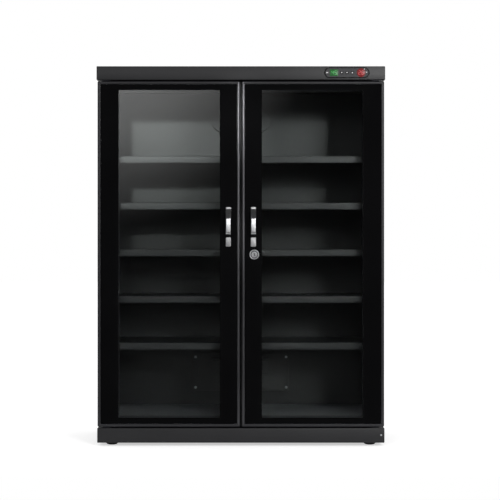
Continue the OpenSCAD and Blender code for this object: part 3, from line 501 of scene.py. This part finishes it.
def lathe(bm, profile, centre, axis="y", steps=64):
    """Turns a profile of (radius, place) points about an axis through centre."""
    rows = []
    for radius, place in profile:
        ring = circle((0, 0), radius, steps) if radius else [(0, 0)]
        rows.append([bm.verts.new(on_axis(centre, axis, across, up, place)) for across, up in ring])
    for one, two in zip(rows, rows[1:]):
        for i in range(steps):
            j = (i + 1) % steps
            corners = [one[i % len(one)], one[j % len(one)], two[j % len(two)], two[i % len(two)]]
            face = list(dict.fromkeys(corners))
            if len(face) > 2:
                bm.faces.new(face)


def add_piece(name, bm, finish_name, body, slot, *replaced, sharp=SHARP_ANGLE):
    """A new piece from a finished bmesh, riding on a body."""
    bmesh.ops.recalc_face_normals(bm, faces=bm.faces)
    mesh = bpy.data.meshes.new(name)
    bm.to_mesh(mesh)
    bm.free()
    for face in mesh.polygons:
        face.use_smooth = True
    mesh.set_sharp_from_angle(angle=math.radians(sharp))
    mesh.materials.append(finishes[finish_name])
    piece = bpy.data.objects.new(name, mesh)
    bpy.context.scene.collection.objects.link(piece)
    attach(piece, body)
    if replaced:
        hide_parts(*replaced)
    return piece


# Sizes in millimetres shared by the pieces

SHEET_T = 1.2
MERGE_GAP = 0.001


def box_mm(node):
    """A node's lowest and highest corners."""
    low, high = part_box(node)
    return [value / MM for value in low], [value / MM for value in high]


def ends(low, high, radius):
    """Centres of the round pieces that reach low and high, or of the one that does both."""
    first, last = low + radius, high - radius
    return (first, last) if last - first > radius else ((first + last) / 2,)


# Doors: both are drawn as the right one

SIDES = ("left", "right")


def door_piece(side, name, bm, finish_name, slot, node=None, sharp=SHARP_ANGLE):
    """A piece of either door, which can stand in for the node of that side."""
    if side == "left":
        for vert in bm.verts:
            vert.co.x = -vert.co.x
    replaced = [f"{side}_{node}"] if node else []
    return add_piece(f"{side}_{name}", bm, finish_name, f"{side}_door", slot, *replaced, sharp=sharp)


TRIM_W = 9.0
RAIL_W = 24.0
EDGE_OUTER_R = 4.0
EDGE_INNER_R = 2.2
EDGE_BACK_IN = 1.0
EDGE_BACK_BREAK = 0.3
EDGE_MIN_R = 0.6
DOOR_CORNER_R = 4.5
STRIP_SLACK = 0.2
STRIP_LENGTH_SHARE = 0.9


def door_frame(side):
    """A rounded metal edge that runs round the glass, mitred at its corners."""
    low, high = box_mm("right_door_frame")
    inner_low, _ = box_mm("right_inner_frame")
    face, back = low[1], high[1]
    pocket = inner_low[1] + SHEET_T
    section = [(EDGE_BACK_IN, back), (EDGE_BACK_BREAK, back - EDGE_BACK_BREAK),
               (0.0, back - EDGE_BACK_IN)]
    section += curve((EDGE_OUTER_R, face + EDGE_OUTER_R), EDGE_OUTER_R, 180, 270, 6)
    section += curve((TRIM_W - EDGE_INNER_R, face + EDGE_INNER_R), EDGE_INNER_R, 270, 360, 4)
    section += [(TRIM_W, pocket), (RAIL_W, pocket), (RAIL_W, back)]
    bm = bmesh.new()
    loft(bm, [inset_loop((low[0], low[2]), (high[0], high[2]), inset,
                         max(DOOR_CORNER_R - inset, EDGE_MIN_R), y) for inset, y in section], ring=True)
    edge = door_piece(side, "door_edge", bm, "door_edge", "door_edge", "door_frame", sharp=50)
    brighten_free_edge(edge, (low[0] + TRIM_W + STRIP_SLACK) * MM,
                       (high[2] - low[2]) * STRIP_LENGTH_SHARE * MM)


def brighten_free_edge(edge, reach, tall):
    """Bare metal on the tall faces of the edge within reach of the cabinet's middle: a lighter finish than
    the rest of the same edge, which is painted highlight on the free edges.
    """
    edge.data.materials.append(finishes["edge_highlight_metal"])
    for face in edge.data.polygons:
        heights = [edge.data.vertices[i].co.z for i in face.vertices]
        if abs(face.center.x) < reach and max(heights) - min(heights) > tall:
            face.material_index = 1


PRINT_T = 0.1
PRINT_GAP = 0.02
PRINT_INSET = 0.2
PRINT_CORNER_R = 1.5
WINDOW_CORNER_R = 1.0
BORDER_OUTER = 61.0
BORDER_INNER = 58.3
BORDER_TOP = 25.7
BORDER_BOTTOM = 27.4


def glass_border(side):
    """The matt black print on the face of the pane, round its window."""
    low, high = box_mm("right_glass")
    door_low, door_high = box_mm("right_door_frame")
    window_low = (door_low[0] + BORDER_INNER, door_low[2] + BORDER_BOTTOM)
    window_high = (door_high[0] - BORDER_OUTER, door_high[2] - BORDER_TOP)
    back = low[1] - PRINT_GAP
    front = back - PRINT_T
    outer = [inset_loop((low[0], low[2]), (high[0], high[2]), PRINT_INSET, PRINT_CORNER_R, y)
             for y in (front, back)]
    inner = [rounded_loop(window_low, window_high, WINDOW_CORNER_R, y) for y in (back, front)]
    bm = bmesh.new()
    loft(bm, outer + inner, ring=True)
    door_piece(side, "glass_print", bm, "frit", "gloss_black")


SEAL_W = 13.0
SEAL_CORNER_R = 1.0
SEAL_FOOT_T = 1.6
SEAL_SHOULDER_T = 2.0
SEAL_SHOULDER_IN = 1.2
FOLD_OUT = 2.2
FOLD_IN = 2.9
FOLD_STEPS = 5
LIP_IN = 2.6
LIP_EDGE = 0.3


def door_seal(side):
    """A magnetic seal: a foot pressed into the door and a bellows of two folds."""
    low, high = box_mm("right_door_seal")
    base, lip = low[1], high[1]
    step = (lip - base) / FOLD_STEPS
    section = [(0.0, base), (0.0, base + SEAL_FOOT_T), (SEAL_SHOULDER_IN, base + SEAL_SHOULDER_T),
               (FOLD_OUT, base + SEAL_SHOULDER_T), (FOLD_IN, base + 2 * step),
               (FOLD_OUT, base + 3 * step), (FOLD_IN, base + 4 * step),
               (LIP_IN - LIP_EDGE, lip - LIP_EDGE), (LIP_IN, lip)]
    section += [(SEAL_W - inset, y) for inset, y in reversed(section)]
    bm = bmesh.new()
    loft(bm, [inset_loop((low[0], low[2]), (high[0], high[2]), inset, SEAL_CORNER_R, y)
              for inset, y in section], ring=True)
    door_piece(side, "bellows_seal", bm, "rubber", "rubber", "door_seal", sharp=60)


# Pulls. The bends of the grip's side view are pairs: a distance away from the glass or from
# the grip's faces, and a height above the pull's foot, knee or ramp. The grip's edge is pairs
# too: in from its side, and in from its outline.

GRIP_W = 13.8
GRIP_T = 4.6
GRIP_END_R = 8.0
GRIP_END_H = 42.5
GRIP_EDGE = ((0.0, 1.19), (0.25, 0.5355), (0.7, 0.1785), (1.7, 0.0))
KNEE_H = 81.5
KNEE_T = 5.0
RAMP_DROP = 7.5
ROOT_FOOT = ((0.6, -14.0), (3.2, -15.0))
UNDER_BEND = ((2.5, 1.6), (0.6, -0.6), (0.0, -3.2))
TIP_BEND = ((0.0, 37.5), (0.2, 36.0), (0.7, 35.1))
KNEE_BEND = ((0.0, -3.0), (0.3, -0.9), (1.5, 1.2))
ROOT_TOP = ((4.4, -0.4), (3.0, 1.0), (0.6, 1.4))
PAD_H = 27.0
PAD_T = 3.0
PAD_CORNER_R = 3.0
PAD_EDGE_R = 1.1
PAD_MIN_R = 0.4
ROOT_PAD_DROP = 2.0
# The gloss black plate behind the grip is painted shade, where the grip's shade falls; it is raised, not
# sunk.
SHADE_PAD_T = 1.3
SHADE_PAD_LAP = 3.0
SHADE_PAD_INSET = 0.3
SHADE_PAD_CORNER_R = 1.0
SHADE_PAD_EDGE_R = 0.3


def grip_outline(out, foot, top):
    """Side view of the grip, anticlockwise: distance out from the glass, and height."""
    knee = foot + KNEE_H
    ramp = top - RAMP_DROP
    inner = out - GRIP_T
    points = [(away, ramp + up) for away, up in ROOT_FOOT]
    points += [(inner - away, knee - KNEE_T + up) for away, up in UNDER_BEND]
    points += [(inner + away, foot + up) for away, up in TIP_BEND]
    points += curve((out - GRIP_END_R, foot + GRIP_END_H), GRIP_END_R, -58, 0, 8)
    points += [(out - away, knee + up) for away, up in KNEE_BEND]
    points += [(away, ramp + up) for away, up in ROOT_TOP]
    return points


def offset_outline(points, inset):
    """Moves each point of a closed outline inwards along its normal."""
    moved = []
    for i, point in enumerate(points):
        before, after = Vector(points[i - 1]), Vector(points[(i + 1) % len(points)])
        along = (after - before).normalized()
        moved.append((point[0] - along.y * inset, point[1] + along.x * inset))
    return moved


def raised_pad(low, high, face, thick, corner, edge):
    """Loops of a plate that stands on a face towards the front, with rounded edges."""
    loops = [inset_loop(low, high, 0, corner, face)]
    for inset, y in curve((edge, face - thick + edge), edge, 180, 270, 4):
        loops.append(inset_loop(low, high, inset, max(corner - inset, PAD_MIN_R), y))
    return loops


def pull(side):
    """A cast pull: a pad at the foot, a sloping root and a free grip, with a gloss black plate under the
    grip that is painted shade.
    """
    low, high = box_mm("right_handle")
    glass_low, _ = box_mm("right_glass")
    face = glass_low[1]
    foot, top = low[2], high[2]
    knee = foot + KNEE_H
    bm = bmesh.new()
    for pad_foot, pad_top in ((foot, foot + PAD_H), (knee - ROOT_PAD_DROP, top)):
        loft(bm, raised_pad((low[0], pad_foot), (high[0], pad_top), face, PAD_T, PAD_CORNER_R,
                            PAD_EDGE_R))
    # The pads' darker metal than the grip is painted shade; their rougher finish is real.
    door_piece(side, "pull_pads", bm, "pad_shade_satin", "chrome", sharp=40)
    middle = (low[0] + high[0]) / 2
    outline = grip_outline(face - low[1], foot, top)
    rows = [(middle - GRIP_W / 2 + across, inset) for across, inset in GRIP_EDGE]
    rows += [(middle + GRIP_W / 2 - across, inset) for across, inset in reversed(GRIP_EDGE)]
    bm = bmesh.new()
    loft(bm, [[(x, face - away, z) for away, z in offset_outline(outline, inset)] for x, inset in rows])
    door_piece(side, "cast_pull", bm, "chrome", "chrome", "handle", sharp=40)
    # Painted shade: a gloss black plate on the glass under the grip.
    bm = bmesh.new()
    loft(bm, raised_pad((low[0] + SHADE_PAD_INSET, foot + PAD_H - SHADE_PAD_LAP), (high[0] - SHADE_PAD_INSET, knee),
                        face, SHADE_PAD_T, SHADE_PAD_CORNER_R, SHADE_PAD_EDGE_R))
    door_piece(side, "pull_painted_shade", bm, "gloss_black", "gloss_black")


# Lock. The plug's ring and the dish's start are places out from the bore, and the dish's turn
# and end are places in from the rim.

BARREL_R = 9.4
BARREL_EDGE = 0.4
PLUG_GAP = 0.1
PLUG_RING_R = 0.45
PLUG_RING_IN = 0.8
PLUG_RING_SINK = 0.5
BORE_SHOULDER = 1.2
LOCK_LIP_R = 1.5
LOCK_SEAT = 0.2
DISH_SINK = 0.9
DISH_MIDDLE_SINK = 1.1
DISH_START = 1.6
DISH_TURN = 3.6
DISH_END = 2.9
DISH_SHADE_START = 1.2
DISH_SHADE_END = 3.2


def lock_rim():
    """The lock's barrel: a rounded rim, a dish inside it and a raised ring round the plug; the dish's
    middle is a darker metal, which is painted shade.
    """
    low, high = box_mm("lock_barrel")
    plug_low, plug_high = box_mm("lock_plug")
    glass_low, _ = box_mm("right_glass")
    centre = ((low[0] + high[0]) / 2, 0, (low[2] + high[2]) / 2)
    rim = (high[0] - low[0]) / 2
    bore = (plug_high[0] - plug_low[0]) / 2 + PLUG_GAP
    front, glass, back = low[1], glass_low[1], high[1]
    profile = [(bore, back), (bore, front + BORE_SHOULDER), (bore, front + PLUG_RING_SINK)]
    profile += curve((bore + PLUG_RING_IN, front + PLUG_RING_SINK), PLUG_RING_R, 180, 360, 6)
    profile += [(bore + DISH_START, front + DISH_SINK), (rim - DISH_TURN, front + DISH_MIDDLE_SINK),
                (rim - DISH_END, front + DISH_SINK)]
    profile += curve((rim - LOCK_LIP_R, front + LOCK_LIP_R), LOCK_LIP_R, 200, 360, 8)
    profile += [(rim, glass - LOCK_SEAT), (rim - LOCK_SEAT, glass), (BARREL_R, glass),
                (BARREL_R, back - BARREL_EDGE), (BARREL_R - BARREL_EDGE, back), (bore, back)]
    bm = bmesh.new()
    lathe(bm, profile, centre)
    bmesh.ops.remove_doubles(bm, verts=bm.verts, dist=MERGE_GAP * MM)
    barrel = add_piece("lock_rim", bm, "chrome", "right_door", "chrome", "lock_barrel", sharp=40)
    # Painted shade: the middle of the sunk dish gets a darker metal.
    barrel.data.materials.append(finishes["dish_shade_metal"])
    for face in barrel.data.polygons:
        away = math.hypot(face.center.x / MM - centre[0], face.center.z / MM - centre[2])
        if bore + DISH_SHADE_START < away < rim - DISH_SHADE_END and face.center.y < glass * MM:
            face.material_index = 1


# Sheet-steel shells

SHELL_MIN_R = 0.5
COVER_FOLD_R = 2.0
COVER_LAP = 7.0
PLINTH_FOLD_R = 1.6
PLINTH_RIM_W = 73.3


def folded_shell(name, node, radius, rim):
    """A steel shell with folded edges and an opening underneath, whose corners rim gives."""
    low, high = box_mm(node)
    bottom, top = low[2], high[2]
    section = [(SHEET_T, top - SHEET_T), (SHEET_T, bottom + SHEET_T)]
    outside = curve((radius, bottom + radius), radius, 270, 180, 4)
    outside += curve((radius, top - radius), radius, 180, 90, 4)
    inner, outer = [[inset_loop(low[:2], high[:2], inset, max(radius - inset, SHELL_MIN_R), z, "xy")
                     for inset, z in rows] for rows in (section, outside)]
    opening = [rounded_loop(rim[0], rim[1], SHELL_MIN_R, z, "xy") for z in (bottom + SHEET_T, bottom)]
    bm = bmesh.new()
    loft(bm, inner + opening + outer)
    add_piece(name, bm, "black_steel", "cabinet", "black_steel", node, sharp=40)


def shells():
    """The top cover, open over the body, and the plinth, open inside its rim."""
    body_low, _ = box_mm("front_frame")
    back_low, _ = box_mm("back_panel")
    rim_x = back_low[0] + COVER_LAP
    rim = ((rim_x, body_low[1] + COVER_LAP), (-rim_x, back_low[1] - COVER_LAP))
    folded_shell("folded_cover", "top_cover", COVER_FOLD_R, rim)
    low, high = box_mm("base_plinth")
    rim = ([place + PLINTH_RIM_W for place in low[:2]], [place - PLINTH_RIM_W for place in high[:2]])
    folded_shell("folded_plinth", "base_plinth", PLINTH_FOLD_R, rim)


# Feet. The neck is pairs: in from the foot's radius, and down from its top.

FOOT_R = 17.0
SOLE_R = 9.0
SOLE_RISE = 5.6
SOLE_STEPS = 8
SCREW_BORE_R = 3.2
HEAD_BORE_R = 6.1
HEAD_BORE_EDGE = 0.5
HEAD_BORE_LIP = 0.6
FOOT_NECK = ((0.0, 1.6), (0.5, 1.3), (0.5, 0.5), (0.2, 0.0))
FOOT_BORE_EDGE = 0.4


def feet():
    """Round rubber feet that taper to the floor, with a ring round each screw's recess."""
    low, high = box_mm("rubber_feet")
    height = high[2]
    profile = [(SCREW_BORE_R, height - FOOT_BORE_EDGE), (SCREW_BORE_R, height / 2),
               (HEAD_BORE_R, height / 2), (HEAD_BORE_R, HEAD_BORE_LIP),
               (HEAD_BORE_R + HEAD_BORE_EDGE, 0.0), (SOLE_R, 0.0)]
    profile += [(SOLE_R + (FOOT_R - SOLE_R) * math.sin(turn), SOLE_RISE - SOLE_RISE * math.cos(turn))
                for turn in [math.radians(90 * i / SOLE_STEPS) for i in range(1, SOLE_STEPS + 1)]]
    profile += [(FOOT_R - inset, height - drop) for inset, drop in FOOT_NECK]
    profile += [(SCREW_BORE_R + FOOT_BORE_EDGE, height), (SCREW_BORE_R, height - FOOT_BORE_EDGE)]
    bm = bmesh.new()
    for x in ends(low[0], high[0], FOOT_R):
        for y in ends(low[1], high[1], FOOT_R):
            lathe(bm, profile, (x, y, 0), "z")
    bmesh.ops.remove_doubles(bm, verts=bm.verts, dist=MERGE_GAP * MM)
    add_piece("tapered_feet", bm, "rubber", "cabinet", "rubber", "rubber_feet", sharp=40)


# Shelves

SHELF_COUNT = 5
FOLD_R = 2.0
SHELF_SIDE_H = 12.0
SHELF_SIDE_R = 0.5


def shelves():
    """Bent sheet shelves: a deck with lips folded down at the front and the back."""
    for number in range(1, SHELF_COUNT + 1):
        node = f"shelf_{number}"
        low, high = box_mm(node)
        front, back, foot, top = low[1], high[1], low[2], high[2]
        inner_r = FOLD_R - SHEET_T
        over = [(front, foot)]
        over += curve((front + FOLD_R, top - FOLD_R), FOLD_R, 180, 90, 6)
        over += curve((back - FOLD_R, top - FOLD_R), FOLD_R, 90, 0, 4) + [(back, foot)]
        under = [(back - SHEET_T, foot)]
        under += curve((back - FOLD_R, top - FOLD_R), inner_r, 0, 90, 3)
        under += curve((front + FOLD_R, top - FOLD_R), inner_r, 90, 180, 3) + [(front + SHEET_T, foot)]
        bm = bmesh.new()
        loft(bm, [[(x, y, z) for y, z in over + under] for x in (low[0], high[0])])
        side = rounded_loop((front + SHEET_T, top - SHELF_SIDE_H), (back - SHEET_T, top - SHEET_T / 2),
                            SHELF_SIDE_R, 0)
        for sheet in ((low[0], low[0] + SHEET_T), (high[0] - SHEET_T, high[0])):
            loft(bm, [[(x, y, z) for y, _, z in side] for x in sheet])
        add_piece(f"bent_{node}", bm, "inner_steel", "cabinet", "black_steel", node, sharp=40)


# Control panel. The rim's section is pairs: in from the panel's edge, and back from its face.
# The bar's places are from the panel's left end and its middle height. A dot has a place
# right of the red window's centre, one above the middle height, and a radius.

RIM_SECTION = ((0.0, 1.6), (0.0, 0.3), (0.5, -0.35), (1.2, -0.5), (2.0, -0.4), (2.4, 0.1), (2.4, 1.6))
WINDOW_T = 0.25
WINDOW_EDGE_T = 0.1
GREEN_W = 24.0
GREEN_H = 19.0
GREEN_EDGE = 0.2
GREEN_CORNER_R = 1.5
RED_R = 12.6
RED_EDGE = 0.3
DIGIT_T = 0.1
DIGIT_W = 5.2
DIGIT_H = 10.8
DIGIT_PITCH = 8.6
DIGITS_LEFT = 7.4
SEGMENT_SHARE = 0.2
SEGMENT_GAP_SHARE = 0.6
SLANT_SHARE = 0.08
SEGMENTS = {2: "abdeg", 4: "bcfg", 5: "acdfg", 6: "acdefg"}
BAR_LEFT = 5.2
BAR_RIGHT = 10.6
BAR_FOOT = -1.3
BAR_TOP = 1.5
DOT_T = 0.3
DOTS = ((9.2, 10.2, 1.3), (15.6, 1.0, 1.6))
ARROW_R = 2.3
ARROW_FOOT_SHARE = 0.7
SET_DOT_R = 1.7
DISC_STEPS = 24
BAR_END_STEPS = 12
MARK_SINK = 0.05


def stadium_loop(centre, width, height, inset, y):
    """Points round a bar with round ends."""
    reach = (width - height) / 2
    points = []
    for side, start in ((1, -90), (-1, 90)):
        points += curve((centre[0] + side * reach, centre[1]), height / 2 - inset, start, start + 180,
                        BAR_END_STEPS)
    return [(x, y, z) for x, z in points]


def prism(bm, outline, front, back):
    """A flat shape of X and Z points, extruded along the depth."""
    loft(bm, [[(x, y, z) for x, z in outline] for y in (back, front)])


def disc(bm, centre, radius, front, back):
    """A flat round shape, extruded along the depth."""
    prism(bm, circle(centre, radius, DISC_STEPS), front, back)


def digit(bm, number, left, foot, front, back):
    """A slanted seven-segment numeral."""
    right, middle, top = left + DIGIT_W, foot + DIGIT_H / 2, foot + DIGIT_H
    segments = {"a": ((left, top), (right, top)), "g": ((left, middle), (right, middle)),
                "d": ((left, foot), (right, foot)), "f": ((left, middle), (left, top)),
                "e": ((left, foot), (left, middle)), "b": ((right, middle), (right, top)),
                "c": ((right, foot), (right, middle))}
    thick = DIGIT_W * SEGMENT_SHARE
    for name in SEGMENTS[number]:
        start, end = [Vector(point) for point in segments[name]]
        along = (end - start).normalized()
        across = Vector((-along.y, along.x)) * thick / 2
        start, end = start + along * thick * SEGMENT_GAP_SHARE, end - along * thick * SEGMENT_GAP_SHARE
        tip = along * thick / 2
        outline = [start - tip, start - across, end - across, end + tip, end + across, start + across]
        prism(bm, [(p.x + (p.y - foot) * SLANT_SHARE, p.y) for p in outline], front, back)


def display_windows(face, middle, green_x, red_x):
    """A green window with round corners and a round red one, standing a little off the panel."""
    front = face - WINDOW_T
    edge = front + WINDOW_EDGE_T
    bm = bmesh.new()
    loft(bm, [inset_loop((green_x - GREEN_W / 2, middle - GREEN_H / 2),
                         (green_x + GREEN_W / 2, middle + GREEN_H / 2), inset, GREEN_CORNER_R, y)
              for inset, y in ((0, face), (0, edge), (GREEN_EDGE, front))])
    add_piece("humidity_window", bm, "green_window", "cabinet", "green_display")
    bm = bmesh.new()
    lathe(bm, [(0, face), (RED_R, face), (RED_R, edge), (RED_R - RED_EDGE, front), (0, front)],
          (red_x, 0, middle))
    add_piece("temperature_window", bm, "red_window", "cabinet", "red_display")


def numerals(name, numbers, colour, x, middle, back):
    """Two plain lit numerals on a window."""
    bm = bmesh.new()
    for i, number in enumerate(numbers):
        digit(bm, number, x - DIGITS_LEFT + i * DIGIT_PITCH, middle - DIGIT_H / 2, back - DIGIT_T, back)
    add_piece(name, bm, f"{colour}_digits", "cabinet", f"{colour}_display")


def panel_marks(face, left, middle, red_x):
    """A plain bar at the panel's left end and two dots beside the red window."""
    bm = bmesh.new()
    prism(bm, [(left + BAR_LEFT, middle + BAR_FOOT), (left + BAR_RIGHT, middle + BAR_FOOT),
               (left + BAR_RIGHT, middle + BAR_TOP), (left + BAR_LEFT, middle + BAR_TOP)],
          face - DIGIT_T, face)
    for across, up, radius in DOTS:
        disc(bm, (red_x + across, middle + up), radius, face - DOT_T, face)
    add_piece("panel_marks", bm, "pale_print", "cabinet", "white_plastic")


def button_mark(node, way):
    """An arrow that points up or down on a button's cap, or a dot where way is 0."""
    low, high = box_mm(node)
    x, z = (low[0] + high[0]) / 2, (low[2] + high[2]) / 2
    front, back = low[1] - DIGIT_T, low[1] + MARK_SINK
    bm = bmesh.new()
    if way:
        foot = z - way * ARROW_R * ARROW_FOOT_SHARE
        prism(bm, [(x - ARROW_R, foot), (x + ARROW_R, foot), (x, z + way * ARROW_R)][::way], front, back)
    else:
        disc(bm, (x, z), SET_DOT_R, front, back)
    add_piece(f"{node}_mark", bm, "pale_print", node, "white_plastic")


def control_panel():
    """A dark rim, two lit windows with numerals, and plain marks on the panel and the buttons."""
    low, high = box_mm("control_bezel")
    face = low[1]
    width, height = high[0] - low[0], high[2] - low[2]
    middle = (low[2] + high[2]) / 2
    bm = bmesh.new()
    loft(bm, [stadium_loop(((low[0] + high[0]) / 2, middle), width, height, inset, face + behind)
              for inset, behind in RIM_SECTION], ring=True)
    add_piece("panel_rim", bm, "rim_black", "cabinet", "gloss_black", sharp=40)
    green_x, red_x = [sum(corner[0] for corner in box_mm(node)) / 2
                      for node in ("humidity_display", "temperature_display")]
    display_windows(face, middle, green_x, red_x)
    numerals("humidity_numerals", (4, 5), "green", green_x, middle, face - WINDOW_T)
    numerals("temperature_numerals", (2, 6), "red", red_x, middle, face - WINDOW_T)
    panel_marks(face, low[0], middle, red_x)
    for node, way in (("button_down", -1), ("button_set", 0), ("button_up", 1)):
        button_mark(node, way)


# Screws: which way their heads face along Y, and the heads' radius and height

SCREWS = {"dryer_screws": (-1, 4.0, 2.4), "rear_cover_screws": (1, 4.0, 2.4),
          "plinth_screw": (-1, 2.8, 1.2)}
CROWN_DROP = 0.1
CROWN_SHARE = 0.45
SHOULDER_SHARES = (0.8, 0.3)
BRIM_SHARE = 0.75
CROSS_BAR_SHARE = 0.13
CROSS_ARM_SHARE = 0.55
CROSS_DEPTH_SHARE = 0.5
CUT_OVERRUN = 0.5


def cross_outline(bar, arm):
    """The corners of a cross, anticlockwise: a quarter of them turned four times."""
    quarter = ((bar, bar), (bar, arm), (-bar, arm))
    points = []
    for turn in ((1, 0), (0, 1), (-1, 0), (0, -1)):
        points += [(x * turn[0] - z * turn[1], x * turn[1] + z * turn[0]) for x, z in quarter]
    return points


def cut_out(piece, bm):
    """Takes the shape of a bmesh out of a piece."""
    bmesh.ops.recalc_face_normals(bm, faces=bm.faces)
    mesh = bpy.data.meshes.new("cutter")
    bm.to_mesh(mesh)
    bm.free()
    cutter = bpy.data.objects.new("cutter", mesh)
    bpy.context.scene.collection.objects.link(cutter)
    cut = piece.modifiers.new("cut", "BOOLEAN")
    cut.object = cutter
    cut.operation = "DIFFERENCE"
    cut.solver = "EXACT"
    graph = bpy.context.evaluated_depsgraph_get()
    result = bpy.data.meshes.new_from_object(piece.evaluated_get(graph))
    piece.modifiers.clear()
    piece.data = result
    bpy.data.objects.remove(cutter)


def screw_heads():
    """Domed heads with a cross recess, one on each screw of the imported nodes."""
    for node, (way, radius, thick) in SCREWS.items():
        low, high = box_mm(node)
        tip = low[1] if way < 0 else high[1]
        drops = [(0, 0), (radius * CROWN_SHARE, CROWN_DROP),
                 (radius * SHOULDER_SHARES[0], thick * SHOULDER_SHARES[1]),
                 (radius, thick * BRIM_SHARE), (radius, thick), (0, thick)]
        cross = cross_outline(radius * CROSS_BAR_SHARE, radius * CROSS_ARM_SHARE)
        heads, crosses = bmesh.new(), bmesh.new()
        for x in ends(low[0], high[0], radius):
            for z in ends(low[2], high[2], radius):
                lathe(heads, [(away, tip - way * drop) for away, drop in drops], (x, 0, z), steps=32)
                loft(crosses, [[(x + across, tip + way * out, z + up) for across, up in cross]
                               for out in (CUT_OVERRUN, -thick * CROSS_DEPTH_SHARE)])
        cut_out(add_piece(f"{node}_heads", heads, "zinc_steel", "cabinet", "zinc_steel", node), crosses)


# Bumpers. The recess in the tip is pairs of a radius and a depth.

BUMPER_R = 15.0
BUMPER_FLANGE_T = 3.0
BUMPER_STEP = 1.2
BUMPER_STEP_H = 1.0
BUMPER_TAPER = 2.0
BUMPER_TIP_R = 3.0
BUMPER_TIP_H = 4.0
BUMPER_RECESS = ((6.0, 0.0), (5.0, 1.5), (3.0, 4.0), (0.0, 4.2))


def bumpers():
    """Rear rubber bumpers with a rounded lip and a recess at the tip."""
    low, high = box_mm("rear_bumpers")
    base, tip = low[1], high[1]
    profile = [(0, base), (BUMPER_R, base), (BUMPER_R, base + BUMPER_FLANGE_T),
               (BUMPER_R - BUMPER_STEP, base + BUMPER_FLANGE_T + BUMPER_STEP_H),
               (BUMPER_R - BUMPER_TAPER, tip - BUMPER_TIP_H)]
    profile += curve((BUMPER_R - BUMPER_TAPER - BUMPER_TIP_R, tip - BUMPER_TIP_R), BUMPER_TIP_R, 0, 90, 5)
    profile += [(radius, tip - depth) for radius, depth in BUMPER_RECESS]
    bm = bmesh.new()
    for x in ends(low[0], high[0], BUMPER_R):
        for z in ends(low[2], high[2], BUMPER_R):
            lathe(bm, profile, (x, 0, z), steps=48)
    add_piece("tapered_bumpers", bm, "rubber", "cabinet", "rubber", "rear_bumpers", sharp=40)


# The imported nodes: finishes other than their slot's, and the widths of rounded edges

# The inside panels get the darker inside coat, which is painted shade, and the inside floor the lighter
# one, which is painted light.
NODE_FINISHES = {"back_panel": "inner_steel", "ceiling_panel": "inner_steel",
                 "shelf_uprights": "inner_steel", "floor_panel": "inner_floor",
                 "control_bezel": "membrane", "hinge_brackets": "dark_zinc"}
SOFT_EDGES = {"front_frame": 0.5, "centre_post": 0.6, "left_side_panel": 0.6, "right_side_panel": 0.6,
              "left_inner_frame": 0.3, "right_inner_frame": 0.3, "dryer_cover": 0.8,
              "humidity_sensor": 0.8, "rear_vent_cover": 0.5, "power_inlet": 0.5, "hinge_brackets": 0.3,
              "cable_channel": 0.5, "control_bezel": 0.3, "floor_panel": 0.4, "cold_plate": 0.4,
              "heat_sink": 0.2, "button_down": 0.25, "button_set": 0.25, "button_up": 0.25,
              "cooling_chip": 0.2, "drain_wick": 0.4, "lock_cam": 0.2, "lock_nut": 0.3}
WELD_GAP = 0.002
BEVEL_SEGMENTS = 2
BEVEL_ANGLE = 35.0


def soften(obj, width):
    """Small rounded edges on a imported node, without touching its mesh."""
    weld = obj.modifiers.new("weld", "WELD")
    weld.merge_threshold = WELD_GAP * MM
    bevel = obj.modifiers.new("bevel", "BEVEL")
    bevel.width = width * MM
    bevel.segments = BEVEL_SEGMENTS
    bevel.limit_method = "ANGLE"
    bevel.angle_limit = math.radians(BEVEL_ANGLE)
    bevel.use_clamp_overlap = True
    bevel.miter_outer = "MITER_ARC"


def dress_nodes():
    """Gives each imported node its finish, and some of them rounded edges."""
    slot_of = {part["node"]: part["material_slot"] for part in frame["record"]["subparts"]}
    for name, obj in nodes.items():
        obj.data.materials.clear()
        obj.data.materials.append(finishes[NODE_FINISHES.get(name, slot_of[name])])
        if name in SOFT_EDGES:
            soften(obj, SOFT_EDGES[name])


make_camera()
make_world()
make_floor()
make_lights()
finishes = make_finishes()
dress_nodes()
for make_door_piece in (door_frame, glass_border, door_seal, pull):
    for door_side in SIDES:
        make_door_piece(door_side)
lock_rim()
shells()
feet()
shelves()
control_panel()
screw_heads()
bumpers()
light_windows()

bpy.context.scene.view_settings.view_transform = "Standard"
